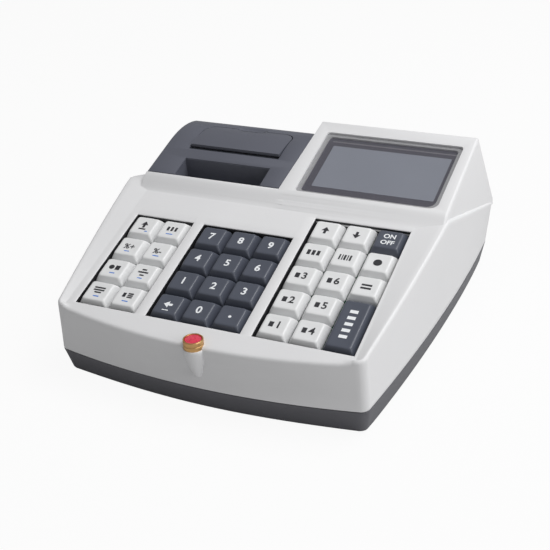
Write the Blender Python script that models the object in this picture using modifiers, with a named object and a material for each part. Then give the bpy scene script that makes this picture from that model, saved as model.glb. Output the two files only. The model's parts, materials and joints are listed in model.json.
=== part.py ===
# Ticket register: a small electronic till with a wedge-shaped light housing, a dark base tray,
# three wells of keys, a display pod and a receipt printer under a dark cover with a paper lid.
# Metres, +Z up, front towards -Y. The origin is at the centre of the footprint, on the table.
import math

import bmesh
import bpy
from mathutils import Matrix, Vector

# Driving dimensions of the whole body
BODY_DEPTH = 0.234
SEAL_REACH = 0.0045
WIDE_HALF_WIDTH = 0.1035
FRONT_TAPER = 0.009
REAR_TAPER = 0.0025
RIDGE_FRONT_TAPER = 0.0115
RIDGE_WIDE_FLARE = 0.003
RIDGE_REAR_FLARE = 0.0085
FRONT_HALF_WIDTH = WIDE_HALF_WIDTH - FRONT_TAPER
REAR_HALF_WIDTH = WIDE_HALF_WIDTH - REAR_TAPER
RIDGE_FRONT_HALF_WIDTH = WIDE_HALF_WIDTH - RIDGE_FRONT_TAPER
RIDGE_WIDE_HALF_WIDTH = WIDE_HALF_WIDTH + RIDGE_WIDE_FLARE
RIDGE_REAR_HALF_WIDTH = WIDE_HALF_WIDTH + RIDGE_REAR_FLARE
WIDEST_SHARE = 0.7
FRONT_BOW = 0.010
REAR_BOW = 0.003
FRONT_CORNER_RADIUS = 0.006
REAR_CORNER_RADIUS = 0.016
WALL = 0.0025
GAP = 0.0003
OVERRUN = 0.02
WELD = 0.000005
FLAT_ANGLE = math.radians(0.3)
SHARP_ANGLE = math.radians(35)

# Heights
FOOT_HEIGHT = 0.0015
PARTING_HEIGHT = 0.0145
RIDGE_LEVEL = 0.0775
PANEL_FRONT_HEIGHT = 0.0422
SHOULDER_REAR_HEIGHT = 0.040

# Key panel
PANEL_SLOPE = math.radians(16)
KEYS_INSET = 0.015
PANEL_RUN = 0.112
PANEL_SIDE_RIM = 0.0045
PANEL_HALF_WIDTH = RIDGE_FRONT_HALF_WIDTH - PANEL_SIDE_RIM
RIM_RISE = 0.0015
RIM_SPLAY = 0.0015
RIDGE_ROUND = 0.0016

# Key grid: the wells fill the panel's width
KEY_COLUMNS = {"left": 2, "middle": 3, "right": 3}
KEY_ROWS = {"left": 4, "middle": 4, "right": 5}
KEYS_SIDE_MARGIN = 0.00385
KEY_BLOCK_GAP = 0.00765
GRID_WIDTH = (PANEL_HALF_WIDTH - KEYS_SIDE_MARGIN) * 2
KEY_PITCH = (GRID_WIDTH - KEY_BLOCK_GAP * 2) / sum(KEY_COLUMNS.values())
KEY_GRID_SHIFT = 0.00165
KEY_CLEARANCE = 0.0006
KEY_TRAVEL = 0.0025

# Raised pod with the display
POD_OFFSET = 0.0045
POD_LEFT = -0.0022
POD_LEFT_REAR = 0.0008
POD_SIDE_INSET = 0.0043
POD_RIGHT = RIDGE_WIDE_HALF_WIDTH - POD_SIDE_INSET
POD_SIDE_LEAN = math.radians(2.8)
POD_TOP_RUN = 0.188
POD_RAMP = 0.0085
POD_RAMP_SOFT = 0.004
POD_REAR_RUN = 0.221
POD_REAR_HEIGHT = 0.048
POD_ROUND = 0.0025

Y_MIN = -(BODY_DEPTH + SEAL_REACH) / 2
Y_FRONT = Y_MIN + SEAL_REACH
Y_REAR = Y_FRONT + BODY_DEPTH
Y_KEYS = Y_FRONT + KEYS_INSET
Z_KEYS = PANEL_FRONT_HEIGHT + KEYS_INSET * math.tan(PANEL_SLOPE)
Y_BEND = Y_FRONT + PANEL_RUN
COLLECTION_NAME = "ticket_register"


def panel_height(y, offset=0.0):
    """Height of the key plane, raised by an offset square to it, at a depth y."""
    return Z_KEYS + (y - Y_KEYS) * math.tan(PANEL_SLOPE) + offset / math.cos(PANEL_SLOPE)


PANEL_FRAME = Matrix.Translation((0, Y_KEYS, Z_KEYS)) @ Matrix.Rotation(PANEL_SLOPE, 4, "X")

for old in list(bpy.data.objects):
    bpy.data.objects.remove(old, do_unlink=True)
parts = bpy.data.collections.new(COLLECTION_NAME)
cutters = bpy.data.collections.new("cutters")
bpy.context.scene.collection.children.link(parts)
bpy.context.scene.collection.children.link(cutters)


# Materials
def material(name, colour, roughness, metallic=0.0, alpha=1.0):
    made = bpy.data.materials.get(name)
    if made is None:
        made = bpy.data.materials.new(name)
        made.use_nodes = True
        shader = made.node_tree.nodes["Principled BSDF"]
        shader.inputs["Base Color"].default_value = (*colour, 1.0)
        shader.inputs["Roughness"].default_value = roughness
        shader.inputs["Metallic"].default_value = metallic
        shader.inputs["Alpha"].default_value = alpha
    return made


LIGHT_SHELL = ("light_shell", (0.72, 0.72, 0.73), 0.5)
DARK_SHELL = ("dark_shell", (0.075, 0.08, 0.095), 0.5)
LIGHT_KEY = ("light_key", (0.78, 0.79, 0.79), 0.45)
DARK_KEY = ("dark_key", (0.09, 0.095, 0.115), 0.4)
BOARD_GREEN = ("board_green", (0.01, 0.12, 0.06), 0.4)
BLACK_RUBBER = ("black_rubber", (0.02, 0.02, 0.02), 0.8)
GREY_RUBBER = ("grey_rubber", (0.25, 0.25, 0.26), 0.7)
STEEL = ("steel", (0.55, 0.55, 0.56), 0.3, 1.0)
BRASS = ("brass", (0.72, 0.48, 0.18), 0.35, 1.0)
RED_WAX = ("red_wax", (0.62, 0.02, 0.05), 0.4)
WHITE_PAPER = ("white_paper", (0.85, 0.85, 0.83), 0.8)
WHITE_GEAR = ("white_gear", (0.8, 0.8, 0.76), 0.4)
SMOKED_LENS = ("smoked_lens", (0.12, 0.12, 0.14), 0.15, 0.0, 0.6)
LCD_GREY = ("lcd_grey", (0.28, 0.31, 0.34), 0.3)
BLUE_WRAP = ("blue_wrap", (0.03, 0.09, 0.3), 0.35)
BLACK_PLASTIC = ("black_plastic", (0.02, 0.02, 0.022), 0.45)


# Building blocks
def bake(obj):
    """Turn an object's evaluated shape, in world space, into its own plain mesh."""
    bpy.context.view_layer.update()
    graph = bpy.context.evaluated_depsgraph_get()
    mesh = bpy.data.meshes.new_from_object(obj.evaluated_get(graph))
    mesh.transform(obj.matrix_world)
    work = bmesh.new()
    work.from_mesh(mesh)
    bmesh.ops.remove_doubles(work, verts=work.verts, dist=WELD)
    work.to_mesh(mesh)
    work.free()
    made = bpy.data.objects.new(obj.name + "_solid", mesh)
    cutters.objects.link(made)
    made.hide_render = True
    made.display_type = "WIRE"
    bpy.data.objects.remove(obj, do_unlink=True)
    return made


def prism(outline, low, high, axis="X"):
    """A flat outline extruded between two places along X, Y or Z."""
    curve = bpy.data.curves.new("outline", "CURVE")
    curve.dimensions = "2D"
    curve.fill_mode = "BOTH"
    curve.extrude = (high - low) / 2
    spline = curve.splines.new("POLY")
    spline.points.add(len(outline) - 1)
    for point, (first, second) in zip(spline.points, outline):
        point.co = (first, second, 0, 1)
    spline.use_cyclic_u = True
    obj = bpy.data.objects.new("prism", curve)
    cutters.objects.link(obj)
    middle = (high + low) / 2
    if axis == "X":
        turn = Matrix(((0, 0, 1, 0), (1, 0, 0, 0), (0, 1, 0, 0), (0, 0, 0, 1)))
        obj.matrix_world = Matrix.Translation((middle, 0, 0)) @ turn
    elif axis == "Y":
        turn = Matrix(((1, 0, 0, 0), (0, 0, -1, 0), (0, 1, 0, 0), (0, 0, 0, 1)))
        obj.matrix_world = Matrix.Translation((0, middle, 0)) @ turn
    else:
        obj.matrix_world = Matrix.Translation((0, 0, middle))
    return bake(obj)


def box(low, high):
    """A box between two corners."""
    bpy.ops.mesh.primitive_cube_add(size=1)
    obj = bpy.context.active_object
    span = Vector(high) - Vector(low)
    obj.matrix_world = Matrix.Translation((Vector(high) + Vector(low)) / 2) @ Matrix.Diagonal((*span, 1))
    return bake(obj)


def rod(radius, start, end, sides, end_radius=None):
    """A cylinder, or a cone with an end radius, from start to end."""
    start, end = Vector(start), Vector(end)
    run = end - start
    work = bmesh.new()
    bmesh.ops.create_cone(work, cap_ends=True, segments=sides, radius1=radius,
                          radius2=radius if end_radius is None else end_radius, depth=run.length)
    mesh = bpy.data.meshes.new("rod")
    work.to_mesh(mesh)
    work.free()
    obj = bpy.data.objects.new("rod", mesh)
    cutters.objects.link(obj)
    turn = Vector((0, 0, 1)).rotation_difference(run).to_matrix().to_4x4()
    obj.matrix_world = Matrix.Translation((start + end) / 2) @ turn
    return bake(obj)


def placed(obj, frame):
    """The same solid carried into another frame."""
    obj.data.transform(frame)
    return obj


def combine(target, operation, *others):
    """Boolean one solid with others, in turn."""
    for other in others:
        step = target.modifiers.new("boolean", "BOOLEAN")
        step.operation = operation
        step.object = other
        step.solver = "EXACT"
    made = bake(target)
    for other in others:
        bpy.data.objects.remove(other, do_unlink=True)
    return made


def round_edges(obj, width, segments, chosen):
    """Bevel the edges for which chosen(edge) is true."""
    work = bmesh.new()
    work.from_mesh(obj.data)
    bmesh.ops.dissolve_limit(work, angle_limit=FLAT_ANGLE, verts=work.verts, edges=work.edges)
    edges = [edge for edge in work.edges if edge.is_manifold and chosen(edge)]
    bmesh.ops.bevel(work, geom=edges, offset=width, segments=segments, profile=0.5, affect="EDGES",
                    clamp_overlap=True)
    bmesh.ops.remove_doubles(work, verts=work.verts, dist=WELD)
    work.to_mesh(obj.data)
    work.free()
    return obj


def finish(obj, name, look, origin=(0, 0, 0), turn=None):
    """Name a solid, give it its material and put its origin where it turns or slides."""
    frame = Matrix.Translation(origin) @ (turn.to_4x4() if turn else Matrix.Identity(4))
    obj.data.transform(frame.inverted())
    obj.matrix_world = frame
    obj.name = name
    obj.data.name = name
    obj.data.materials.clear()
    obj.data.materials.append(material(*look))
    obj.data.shade_smooth()
    obj.data.set_sharp_from_angle(angle=SHARP_ANGLE)
    obj.hide_render = False
    obj.display_type = "TEXTURED"
    cutters.objects.unlink(obj)
    parts.objects.link(obj)
    return obj


# Plan outline of the body: bowed front, barrelled sides, round rear corners
FRONT_STEPS = 10
SIDE_STEPS = 14
CORNER_STEPS = 3
REAR_STEPS = 4


def half_width_at(y, front_half, wide_half, rear_half, y_front, y_rear):
    y_wide = y_front + (y_rear - y_front) * WIDEST_SHARE
    if y < y_wide:
        return wide_half - (wide_half - front_half) * ((y_wide - y) / (y_wide - y_front)) ** 2
    return wide_half - (wide_half - rear_half) * ((y - y_wide) / (y_rear - y_wide)) ** 2


def plan_ring(front_half, wide_half, rear_half, y_front, y_rear, front_radius, rear_radius):
    right = []
    flat_half = front_half - front_radius
    end_slope = 2 * FRONT_BOW * flat_half / front_half ** 2
    corner_y = y_front + FRONT_BOW * (flat_half / front_half) ** 2 + front_radius
    for step in range(FRONT_STEPS // 2 + 1):
        x = flat_half * step / (FRONT_STEPS // 2)
        right.append((x, y_front + FRONT_BOW * (x / front_half) ** 2))
    for step in range(1, CORNER_STEPS + 1):
        angle = -math.pi / 2 + math.atan(end_slope)
        angle += (math.pi / 2 - math.atan(end_slope)) * step / CORNER_STEPS
        right.append((flat_half + front_radius * math.cos(angle), corner_y + front_radius * math.sin(angle)))
    rear_corner_y = y_rear - rear_radius - REAR_BOW
    for step in range(1, SIDE_STEPS + 1):
        y = corner_y + (rear_corner_y - corner_y) * step / SIDE_STEPS
        right.append((half_width_at(y, front_half, wide_half, rear_half, corner_y, y_rear), y))
    centre_x = right[-1][0] - rear_radius
    for step in range(1, CORNER_STEPS + 1):
        angle = math.pi / 2 * step / CORNER_STEPS
        right.append((centre_x + rear_radius * math.cos(angle),
                      rear_corner_y + rear_radius * math.sin(angle)))
    for step in range(1, REAR_STEPS // 2 + 1):
        x = centre_x * (1 - step / (REAR_STEPS // 2))
        right.append((x, y_rear - REAR_BOW * (x / centre_x) ** 2))
    left = [(-x, y) for x, y in reversed(right[1:-1])]
    return right + left


def loft(rings):
    """A closed solid through rings of equal count, each a (points, height) pair."""
    work = bmesh.new()
    rows = [[work.verts.new((x, y, height)) for x, y in points] for points, height in rings]
    work.faces.new(list(reversed(rows[0])))
    for lower, upper in zip(rows, rows[1:]):
        for index in range(len(lower)):
            following = (index + 1) % len(lower)
            work.faces.new((lower[index], lower[following], upper[following], upper[index]))
    work.faces.new(rows[-1])
    mesh = bpy.data.meshes.new("loft")
    work.to_mesh(mesh)
    work.free()
    obj = bpy.data.objects.new("loft", mesh)
    cutters.objects.link(obj)
    return obj


def body_rings(inset, front_inset, bottom):
    """The body's walls, drawn in by an inset, from a bottom height to the ridge level."""
    low = plan_ring(FRONT_HALF_WIDTH - inset, WIDE_HALF_WIDTH - inset, REAR_HALF_WIDTH - inset,
                    Y_FRONT + front_inset, Y_REAR - inset,
                    FRONT_CORNER_RADIUS, REAR_CORNER_RADIUS - inset)
    high = plan_ring(RIDGE_FRONT_HALF_WIDTH - inset, RIDGE_WIDE_HALF_WIDTH - inset,
                     RIDGE_REAR_HALF_WIDTH - inset, Y_FRONT + front_inset, Y_REAR - inset,
                     FRONT_CORNER_RADIUS, REAR_CORNER_RADIUS - inset)
    share = (bottom - PARTING_HEIGHT) / (RIDGE_LEVEL - PARTING_HEIGHT)
    floor = [(a + (c - a) * share, b + (d - b) * share) for (a, b), (c, d) in zip(low, high)]
    return [(floor, bottom), (high, RIDGE_LEVEL)]


# The shoulders climb with the key panel and fall again towards the rear
Y_RIDGE = Y_KEYS + (RIDGE_LEVEL - Z_KEYS - RIM_RISE / math.cos(PANEL_SLOPE)) / math.tan(PANEL_SLOPE)
SHOULDER_FALL = (RIDGE_LEVEL - SHOULDER_REAR_HEIGHT) / (Y_REAR - Y_RIDGE)


def shoulder_outline(drop):
    """Side outline above which the body is cut away, lowered by a drop."""
    start = Y_FRONT - OVERRUN
    end = Y_REAR + OVERRUN
    return [(start, panel_height(start, RIM_RISE) - drop),
            (Y_RIDGE, RIDGE_LEVEL - drop),
            (end, RIDGE_LEVEL - SHOULDER_FALL * (end - Y_RIDGE) - drop),
            (end, -OVERRUN), (start, -OVERRUN)]


def shoulder_waste(drop):
    """What lies above the shoulders, as a cutter."""
    start = Y_FRONT - OVERRUN
    end = Y_REAR + OVERRUN
    sky = RIDGE_LEVEL + BODY_DEPTH
    outline = shoulder_outline(drop)[:3] + [(end, sky), (start, sky)]
    return prism(outline, -BODY_DEPTH, BODY_DEPTH)


# The pod's side outline: a soft ramp, the long face, a round top and the slanted rear
Y_POD_TOP = Y_FRONT + POD_TOP_RUN
Y_POD_REAR = Y_FRONT + POD_REAR_RUN
POD_SINK = 0.012
POD_REAR_SINK = 0.006
RAMP_BEND_SHARE = 0.3
RAMP_SOFT_RISE_SHARE = 0.15


def pod_outline(inset=0.0):
    """The pod's side outline, drawn in by an inset."""
    face = [(Y_BEND - POD_RAMP_SOFT, -POD_SINK), (Y_BEND - POD_RAMP_SOFT, -inset),
            (Y_BEND + POD_RAMP * RAMP_BEND_SHARE, POD_OFFSET * RAMP_SOFT_RISE_SHARE - inset),
            (Y_BEND + POD_RAMP, POD_OFFSET - inset)]
    outline = [(y + inset, panel_height(y + inset, offset)) for y, offset in face]
    outline.append((Y_POD_TOP - inset, panel_height(Y_POD_TOP - inset, POD_OFFSET - inset)))
    outline.append((Y_POD_REAR - inset, POD_REAR_HEIGHT))
    outline.append((Y_POD_REAR - inset, POD_REAR_HEIGHT - POD_REAR_SINK))
    return outline


def beside_pod(start, reach):
    """What lies to one side of the slanting line between the pod and the printer cover, as a cutter."""
    end = start + POD_LEFT_REAR - POD_LEFT
    outline = [(start, Y_BEND), (end, Y_POD_TOP), (end, Y_REAR), (end + reach, Y_REAR),
               (end + reach, Y_BEND)]
    return prism(outline, PARTING_HEIGHT, RIDGE_LEVEL + BODY_DEPTH, "Z")


def pod_solid(inset):
    """The pod, drawn in by an inset: its right side leans out, its left side draws in rearwards."""
    pod = prism(pod_outline(inset), POD_LEFT + inset, POD_RIGHT + OVERRUN)
    top = panel_height(Y_POD_TOP, POD_OFFSET)
    reach = top - PARTING_HEIGHT
    spread = reach * math.tan(POD_SIDE_LEAN)
    beyond = POD_RIGHT + OVERRUN * 2
    outline = [(POD_RIGHT - inset, top), (POD_RIGHT - inset + spread, top - reach), (beyond, top - reach),
               (beyond, top + OVERRUN), (POD_RIGHT - inset, top + OVERRUN)]
    side = prism(outline, Y_FRONT, Y_REAR + OVERRUN, "Y")
    left = beside_pod(POD_LEFT + inset, -OVERRUN)
    return combine(pod, "DIFFERENCE", side, left)


# Cove under the front lip
COVE_DEPTH = 0.0028
COVE_RADIUS = 0.0125
COVE_DROP = 0.0150
COVE_BOW = 0.0150
COVE_STEPS = 24
COVE_OUTREACH = 0.012


def cove_cutter():
    """A rod bent like the front's bow, and a little more, so that it fades out at the corners."""
    curve = bpy.data.curves.new("cove", "CURVE")
    curve.dimensions = "3D"
    curve.bevel_depth = COVE_RADIUS
    curve.bevel_resolution = 3
    curve.use_fill_caps = True
    spline = curve.splines.new("POLY")
    spline.points.add(COVE_STEPS)
    reach = FRONT_HALF_WIDTH + COVE_OUTREACH
    for index, point in enumerate(spline.points):
        x = reach * (2 * index / COVE_STEPS - 1)
        y = Y_FRONT + COVE_DEPTH - COVE_RADIUS - (COVE_BOW - FRONT_BOW) * (x / FRONT_HALF_WIDTH) ** 2
        y += FRONT_BOW * (x / FRONT_HALF_WIDTH) ** 2
        point.co = (x, y, PANEL_FRONT_HEIGHT - COVE_DROP, 1)
    obj = bpy.data.objects.new("cove", curve)
    cutters.objects.link(obj)
    return bake(obj)


# Seal boss on the front: a half cone that fades out downwards, with a brass cup of wax on it
SEAL_CUP_RADIUS = 0.0056
SEAL_CUP_HEIGHT = 0.0054
SEAL_CUP_WALL = 0.0009
SEAL_BOSS_TOP = 0.0408
SEAL_BOSS_HEIGHT = 0.0185
SEAL_BOSS_RADIUS = 0.0062
SEAL_TIP_RADIUS = 0.0018
SEAL_TIP_INSET = 0.0012
SEAL_SIDES = 24
SEAL_WAX_RISE = 0.0003
Y_SEAL = Y_MIN + SEAL_BOSS_RADIUS


# Left edge of each key well, on the key plane
GRID_LEFT = KEY_GRID_SHIFT - GRID_WIDTH / 2
MIDDLE_LEFT = GRID_LEFT + KEY_COLUMNS["left"] * KEY_PITCH + KEY_BLOCK_GAP
RIGHT_LEFT = MIDDLE_LEFT + KEY_COLUMNS["middle"] * KEY_PITCH + KEY_BLOCK_GAP
WELL_LEFT = {"left": GRID_LEFT, "middle": MIDDLE_LEFT, "right": RIGHT_LEFT}

# Keyboard stack below the panel, as depths under the key plane
CAP_RISE = 0.0010
CAP_SKIRT_DEPTH = 0.0042
STEM_HALF = 0.0020
BOARD_TOP_DEPTH = 0.0070
BOARD_THICKNESS = 0.0016
STEM_DEPTH = 0.0094
MAT_THICKNESS = 0.0015
MAT_RIM = 0.0015
BOARD_MARGIN = 0.0015
POST_RADIUS = 0.0024
POST_SHARES = (0.14, 0.86)
POST_SIDES = 10

# Display window in the pod's face
WINDOW_LEFT = 0.0080
WINDOW_SIDE_MARGIN = 0.0062
WINDOW_WIDTH = POD_RIGHT - WINDOW_LEFT - WINDOW_SIDE_MARGIN
WINDOW_FRONT = 0.1120
WINDOW_DEPTH = 0.0585
WINDOW_POCKET = 0.0015
WINDOW_FRAME = 0.0035
WINDOW_CORNER = 0.0030
MODULE_THICKNESS = 0.0065
MODULE_FRONT_INSET = 0.0040

# Printer bay and cover
COVER_SIDE_INSET = 0.0130
COVER_LEFT = COVER_SIDE_INSET - RIDGE_WIDE_HALF_WIDTH
COVER_RIGHT = POD_LEFT - GAP
COVER_WALL = 0.0022
COVER_FRONT_RUN = 0.1212
BAY_MARGIN = 0.0030
BAY_REAR_RUN = 0.205
CROWN_MIDDLE_RUN = 0.158
CROWN_LATE_RUN = 0.172
CROWN_REAR_RUN = 0.182
CROWN_EDGE_RUN = 0.187
CROWN_MIDDLE_DROP = 0.0008
CROWN_LATE_DROP = 0.0030
CROWN_REAR_DROP = 0.0056
CROWN_EDGE_DROP = 0.0092

# Rear sockets
SOCKET_SIDE_INSET = 0.061
SOCKET_LEFT = REAR_HALF_WIDTH - SOCKET_SIDE_INSET
SOCKET_WIDTH = 0.044
SOCKET_LOW = 0.0185
SOCKET_HEIGHT = 0.015
SOCKET_LENGTH = 0.011
SOCKET_LIP = 0.0006


def chosen_ridge(edge):
    """The body's edges above the parting that are not upright corners."""
    if edge.calc_face_angle(0) < SHARP_ANGLE:
        return False
    return min(vert.co.z for vert in edge.verts) > PARTING_HEIGHT + RIM_RISE + GAP


def make_upper_housing():
    body = loft(body_rings(0, 0, PARTING_HEIGHT + GAP / 2))
    body = combine(body, "DIFFERENCE", shoulder_waste(0))
    body = round_edges(body, RIDGE_ROUND, 2, chosen_ridge)
    pod = pod_solid(0)
    pod = round_edges(pod, POD_ROUND, 2, lambda edge: edge.calc_face_angle(0) > SHARP_ANGLE
                      and max(vert.co.x for vert in edge.verts) > POD_RIGHT - GAP
                      and edge.verts[0].co.z > POD_REAR_HEIGHT - GAP
                      and edge.verts[1].co.z > POD_REAR_HEIGHT - GAP)
    y_sill = Y_FRONT + COVER_FRONT_RUN - GAP
    outline = pod_outline()
    sill_outline = [outline[0], outline[1], outline[2], outline[3],
                    (y_sill, panel_height(y_sill, POD_OFFSET)),
                    (y_sill, panel_height(y_sill, -POD_SINK))]
    sill = prism(sill_outline, COVER_LEFT, POD_LEFT + POD_SINK)
    boss_top = (0, Y_SEAL, SEAL_BOSS_TOP)
    boss_tip = (0, Y_FRONT + COVE_DEPTH + SEAL_TIP_INSET, SEAL_BOSS_TOP - SEAL_BOSS_HEIGHT)
    boss = rod(SEAL_BOSS_RADIUS, boss_top, (0, Y_SEAL, SEAL_BOSS_TOP + SEAL_WAX_RISE), SEAL_SIDES)
    cone = rod(SEAL_TIP_RADIUS, boss_tip, boss_top, SEAL_SIDES, SEAL_BOSS_RADIUS)
    # panel recess between the two rims
    recess_run = PANEL_RUN / math.cos(PANEL_SLOPE) - KEYS_INSET
    recess_outline = [(-PANEL_HALF_WIDTH, 0), (PANEL_HALF_WIDTH, 0),
                      (PANEL_HALF_WIDTH + RIM_SPLAY * OVERRUN / RIM_RISE, OVERRUN),
                      (-PANEL_HALF_WIDTH - RIM_SPLAY * OVERRUN / RIM_RISE, OVERRUN)]
    recess = prism(recess_outline, -OVERRUN - KEYS_INSET, recess_run, "Y")
    recess = placed(recess, PANEL_FRAME)
    body = combine(body, "DIFFERENCE", recess, cove_cutter())
    body = combine(body, "UNION", pod, sill, cone, boss)
    # hollow inside
    floor = PARTING_HEIGHT - OVERRUN
    hollow = loft(body_rings(WALL, WALL + COVE_DEPTH, floor))
    hollow = combine(hollow, "DIFFERENCE", shoulder_waste(WALL + RIM_RISE))
    pod_hollow = pod_solid(WALL)
    body = combine(body, "DIFFERENCE", hollow, pod_hollow)
    # bay under the printer cover
    y_bay = Y_FRONT + COVER_FRONT_RUN + BAY_MARGIN
    bay = box((COVER_LEFT + BAY_MARGIN, y_bay, PARTING_HEIGHT + OVERRUN),
              (COVER_RIGHT - BAY_MARGIN, Y_FRONT + BAY_REAR_RUN, RIDGE_LEVEL + OVERRUN))
    wells = []
    for block, left in WELL_LEFT.items():
        right = left + KEY_COLUMNS[block] * KEY_PITCH
        well = box((left, 0, -POD_SINK), (right, KEY_ROWS[block] * KEY_PITCH, POD_SINK))
        wells.append(placed(well, PANEL_FRAME))
    pocket = window_prism(0, POD_OFFSET - WINDOW_POCKET, POD_OFFSET + OVERRUN)
    opening = window_prism(WINDOW_FRAME, POD_OFFSET - OVERRUN, POD_OFFSET + OVERRUN)
    cup_hole = rod(SEAL_CUP_RADIUS + GAP, (0, Y_SEAL, SEAL_BOSS_TOP),
                   (0, Y_SEAL, SEAL_BOSS_TOP + OVERRUN), SEAL_SIDES)
    sockets = box((SOCKET_LEFT - GAP, Y_REAR - OVERRUN, SOCKET_LOW - GAP),
                  (SOCKET_LEFT + SOCKET_WIDTH + GAP, Y_REAR + OVERRUN, SOCKET_LOW + SOCKET_HEIGHT + GAP))
    body = combine(body, "DIFFERENCE", bay, *wells, pocket, opening, cup_hole, sockets)
    # posts that carry the keyboard board
    posts = []
    for column in (MIDDLE_LEFT - KEY_BLOCK_GAP / 2, RIGHT_LEFT - KEY_BLOCK_GAP / 2):
        for share in POST_SHARES:
            along = share * KEY_ROWS["middle"] * KEY_PITCH
            post = rod(POST_RADIUS, (column, along, -BOARD_TOP_DEPTH + GAP), (column, along, -WALL / 2),
                       POST_SIDES)
            posts.append(placed(post, PANEL_FRAME))
    body = combine(body, "UNION", *posts)
    finish(body, "upper_housing", LIGHT_SHELL)


def window_prism(inset, low, high):
    """The display window's rounded outline, drawn in by an inset, between two offsets."""
    left = WINDOW_LEFT + inset
    right = WINDOW_LEFT + WINDOW_WIDTH - inset
    front = WINDOW_FRONT + inset
    rear = WINDOW_FRONT + WINDOW_DEPTH - inset
    outline = []
    for x, y, turn in ((right, front, -0.5), (right, rear, 0), (left, rear, 0.5), (left, front, 1)):
        centre_x = x - math.copysign(WINDOW_CORNER, x - left - WINDOW_CORNER)
        centre_y = y - math.copysign(WINDOW_CORNER, y - front - WINDOW_CORNER)
        for step in range(CORNER_STEPS + 1):
            angle = math.pi * (turn + 0.5 * step / CORNER_STEPS)
            outline.append((centre_x + WINDOW_CORNER * math.cos(angle),
                            centre_y + WINDOW_CORNER * math.sin(angle)))
    return placed(prism(outline, low, high, "Z"), PANEL_FRAME)


# Base tray: walls that draw in towards the bottom
BASE_FRONT_INSET = 0.007
BASE_SIDE_INSET = 0.0035
STANDOFF_RADIUS = 0.003
STANDOFF_HEIGHT = 0.005


def make_base_tray():
    top = plan_ring(FRONT_HALF_WIDTH, WIDE_HALF_WIDTH, REAR_HALF_WIDTH, Y_FRONT, Y_REAR,
                    FRONT_CORNER_RADIUS, REAR_CORNER_RADIUS)
    bottom = plan_ring(FRONT_HALF_WIDTH - BASE_FRONT_INSET, WIDE_HALF_WIDTH - BASE_SIDE_INSET,
                       REAR_HALF_WIDTH - BASE_SIDE_INSET, Y_FRONT + BASE_FRONT_INSET,
                       Y_REAR - BASE_SIDE_INSET, FRONT_CORNER_RADIUS, REAR_CORNER_RADIUS)
    tray = loft([(bottom, FOOT_HEIGHT), (top, PARTING_HEIGHT - GAP / 2)])
    inner_low = plan_ring(FRONT_HALF_WIDTH - BASE_FRONT_INSET - WALL,
                          WIDE_HALF_WIDTH - BASE_SIDE_INSET - WALL,
                          REAR_HALF_WIDTH - BASE_SIDE_INSET - WALL,
                          Y_FRONT + BASE_FRONT_INSET + WALL, Y_REAR - BASE_SIDE_INSET - WALL,
                          FRONT_CORNER_RADIUS, REAR_CORNER_RADIUS - WALL)
    inner_top = plan_ring(FRONT_HALF_WIDTH - WALL, WIDE_HALF_WIDTH - WALL, REAR_HALF_WIDTH - WALL,
                          Y_FRONT + WALL, Y_REAR - WALL, FRONT_CORNER_RADIUS,
                          REAR_CORNER_RADIUS - WALL)
    hollow = loft([(inner_low, FOOT_HEIGHT + WALL), (inner_top, PARTING_HEIGHT + GAP)])
    tray = combine(tray, "DIFFERENCE", hollow)
    posts = []
    floor = FOOT_HEIGHT + WALL
    for x, y in board_corners(MAIN_BOARD, STANDOFF_RADIUS):
        posts.append(rod(STANDOFF_RADIUS, (x, y, floor - WALL / 2), (x, y, floor + STANDOFF_HEIGHT),
                         POST_SIDES))
    tray = combine(tray, "UNION", *posts)
    finish(tray, "base_tray", DARK_SHELL)


# Boards and the battery pack in the tray: left, right, and front and rear as runs from the front
BOARD_SIDE_INSET = 0.0095
BOARD_REAR_INSET = 0.022
BATTERY_SIDE_INSET = 0.0255
MAIN_BOARD = {"left": 0.004, "right": WIDE_HALF_WIDTH - BOARD_SIDE_INSET, "front": 0.100,
              "rear": BODY_DEPTH - BOARD_REAR_INSET}
MAIN_BOARD_THICKNESS = 0.0016
BATTERY = {"left": BATTERY_SIDE_INSET - WIDE_HALF_WIDTH, "right": -0.008, "front": 0.036, "rear": 0.088}
BATTERY_HEIGHT = 0.0148
BATTERY_ROUND = 0.0035
CHIP = {"left": 0.030, "right": 0.058, "front": 0.140, "rear": 0.168}
CHIP_HEIGHT = 0.0030


def board_corners(board, margin):
    for x in (board["left"] + margin, board["right"] - margin):
        for run in (board["front"] + margin, board["rear"] - margin):
            yield x, Y_FRONT + run


def board_box(board, low, high):
    return box((board["left"], Y_FRONT + board["front"], low),
               (board["right"], Y_FRONT + board["rear"], high))


def make_boards():
    low = FOOT_HEIGHT + WALL + STANDOFF_HEIGHT + GAP
    board = board_box(MAIN_BOARD, low, low + MAIN_BOARD_THICKNESS)
    chip = board_box(CHIP, low + MAIN_BOARD_THICKNESS / 2, low + MAIN_BOARD_THICKNESS + CHIP_HEIGHT)
    finish(combine(board, "UNION", chip), "main_board", BOARD_GREEN)
    floor = FOOT_HEIGHT + WALL + GAP
    pack = board_box(BATTERY, floor, floor + BATTERY_HEIGHT)
    pack = round_edges(pack, BATTERY_ROUND, 3, lambda edge: abs(edge.verts[0].co.y - edge.verts[1].co.y)
                       > BATTERY_HEIGHT)
    finish(pack, "battery_pack", BLUE_WRAP)


# Keyboard board with a guide hole for each stem, and the contact mat under it
HOLE_HALF = STEM_HALF + GAP


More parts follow.
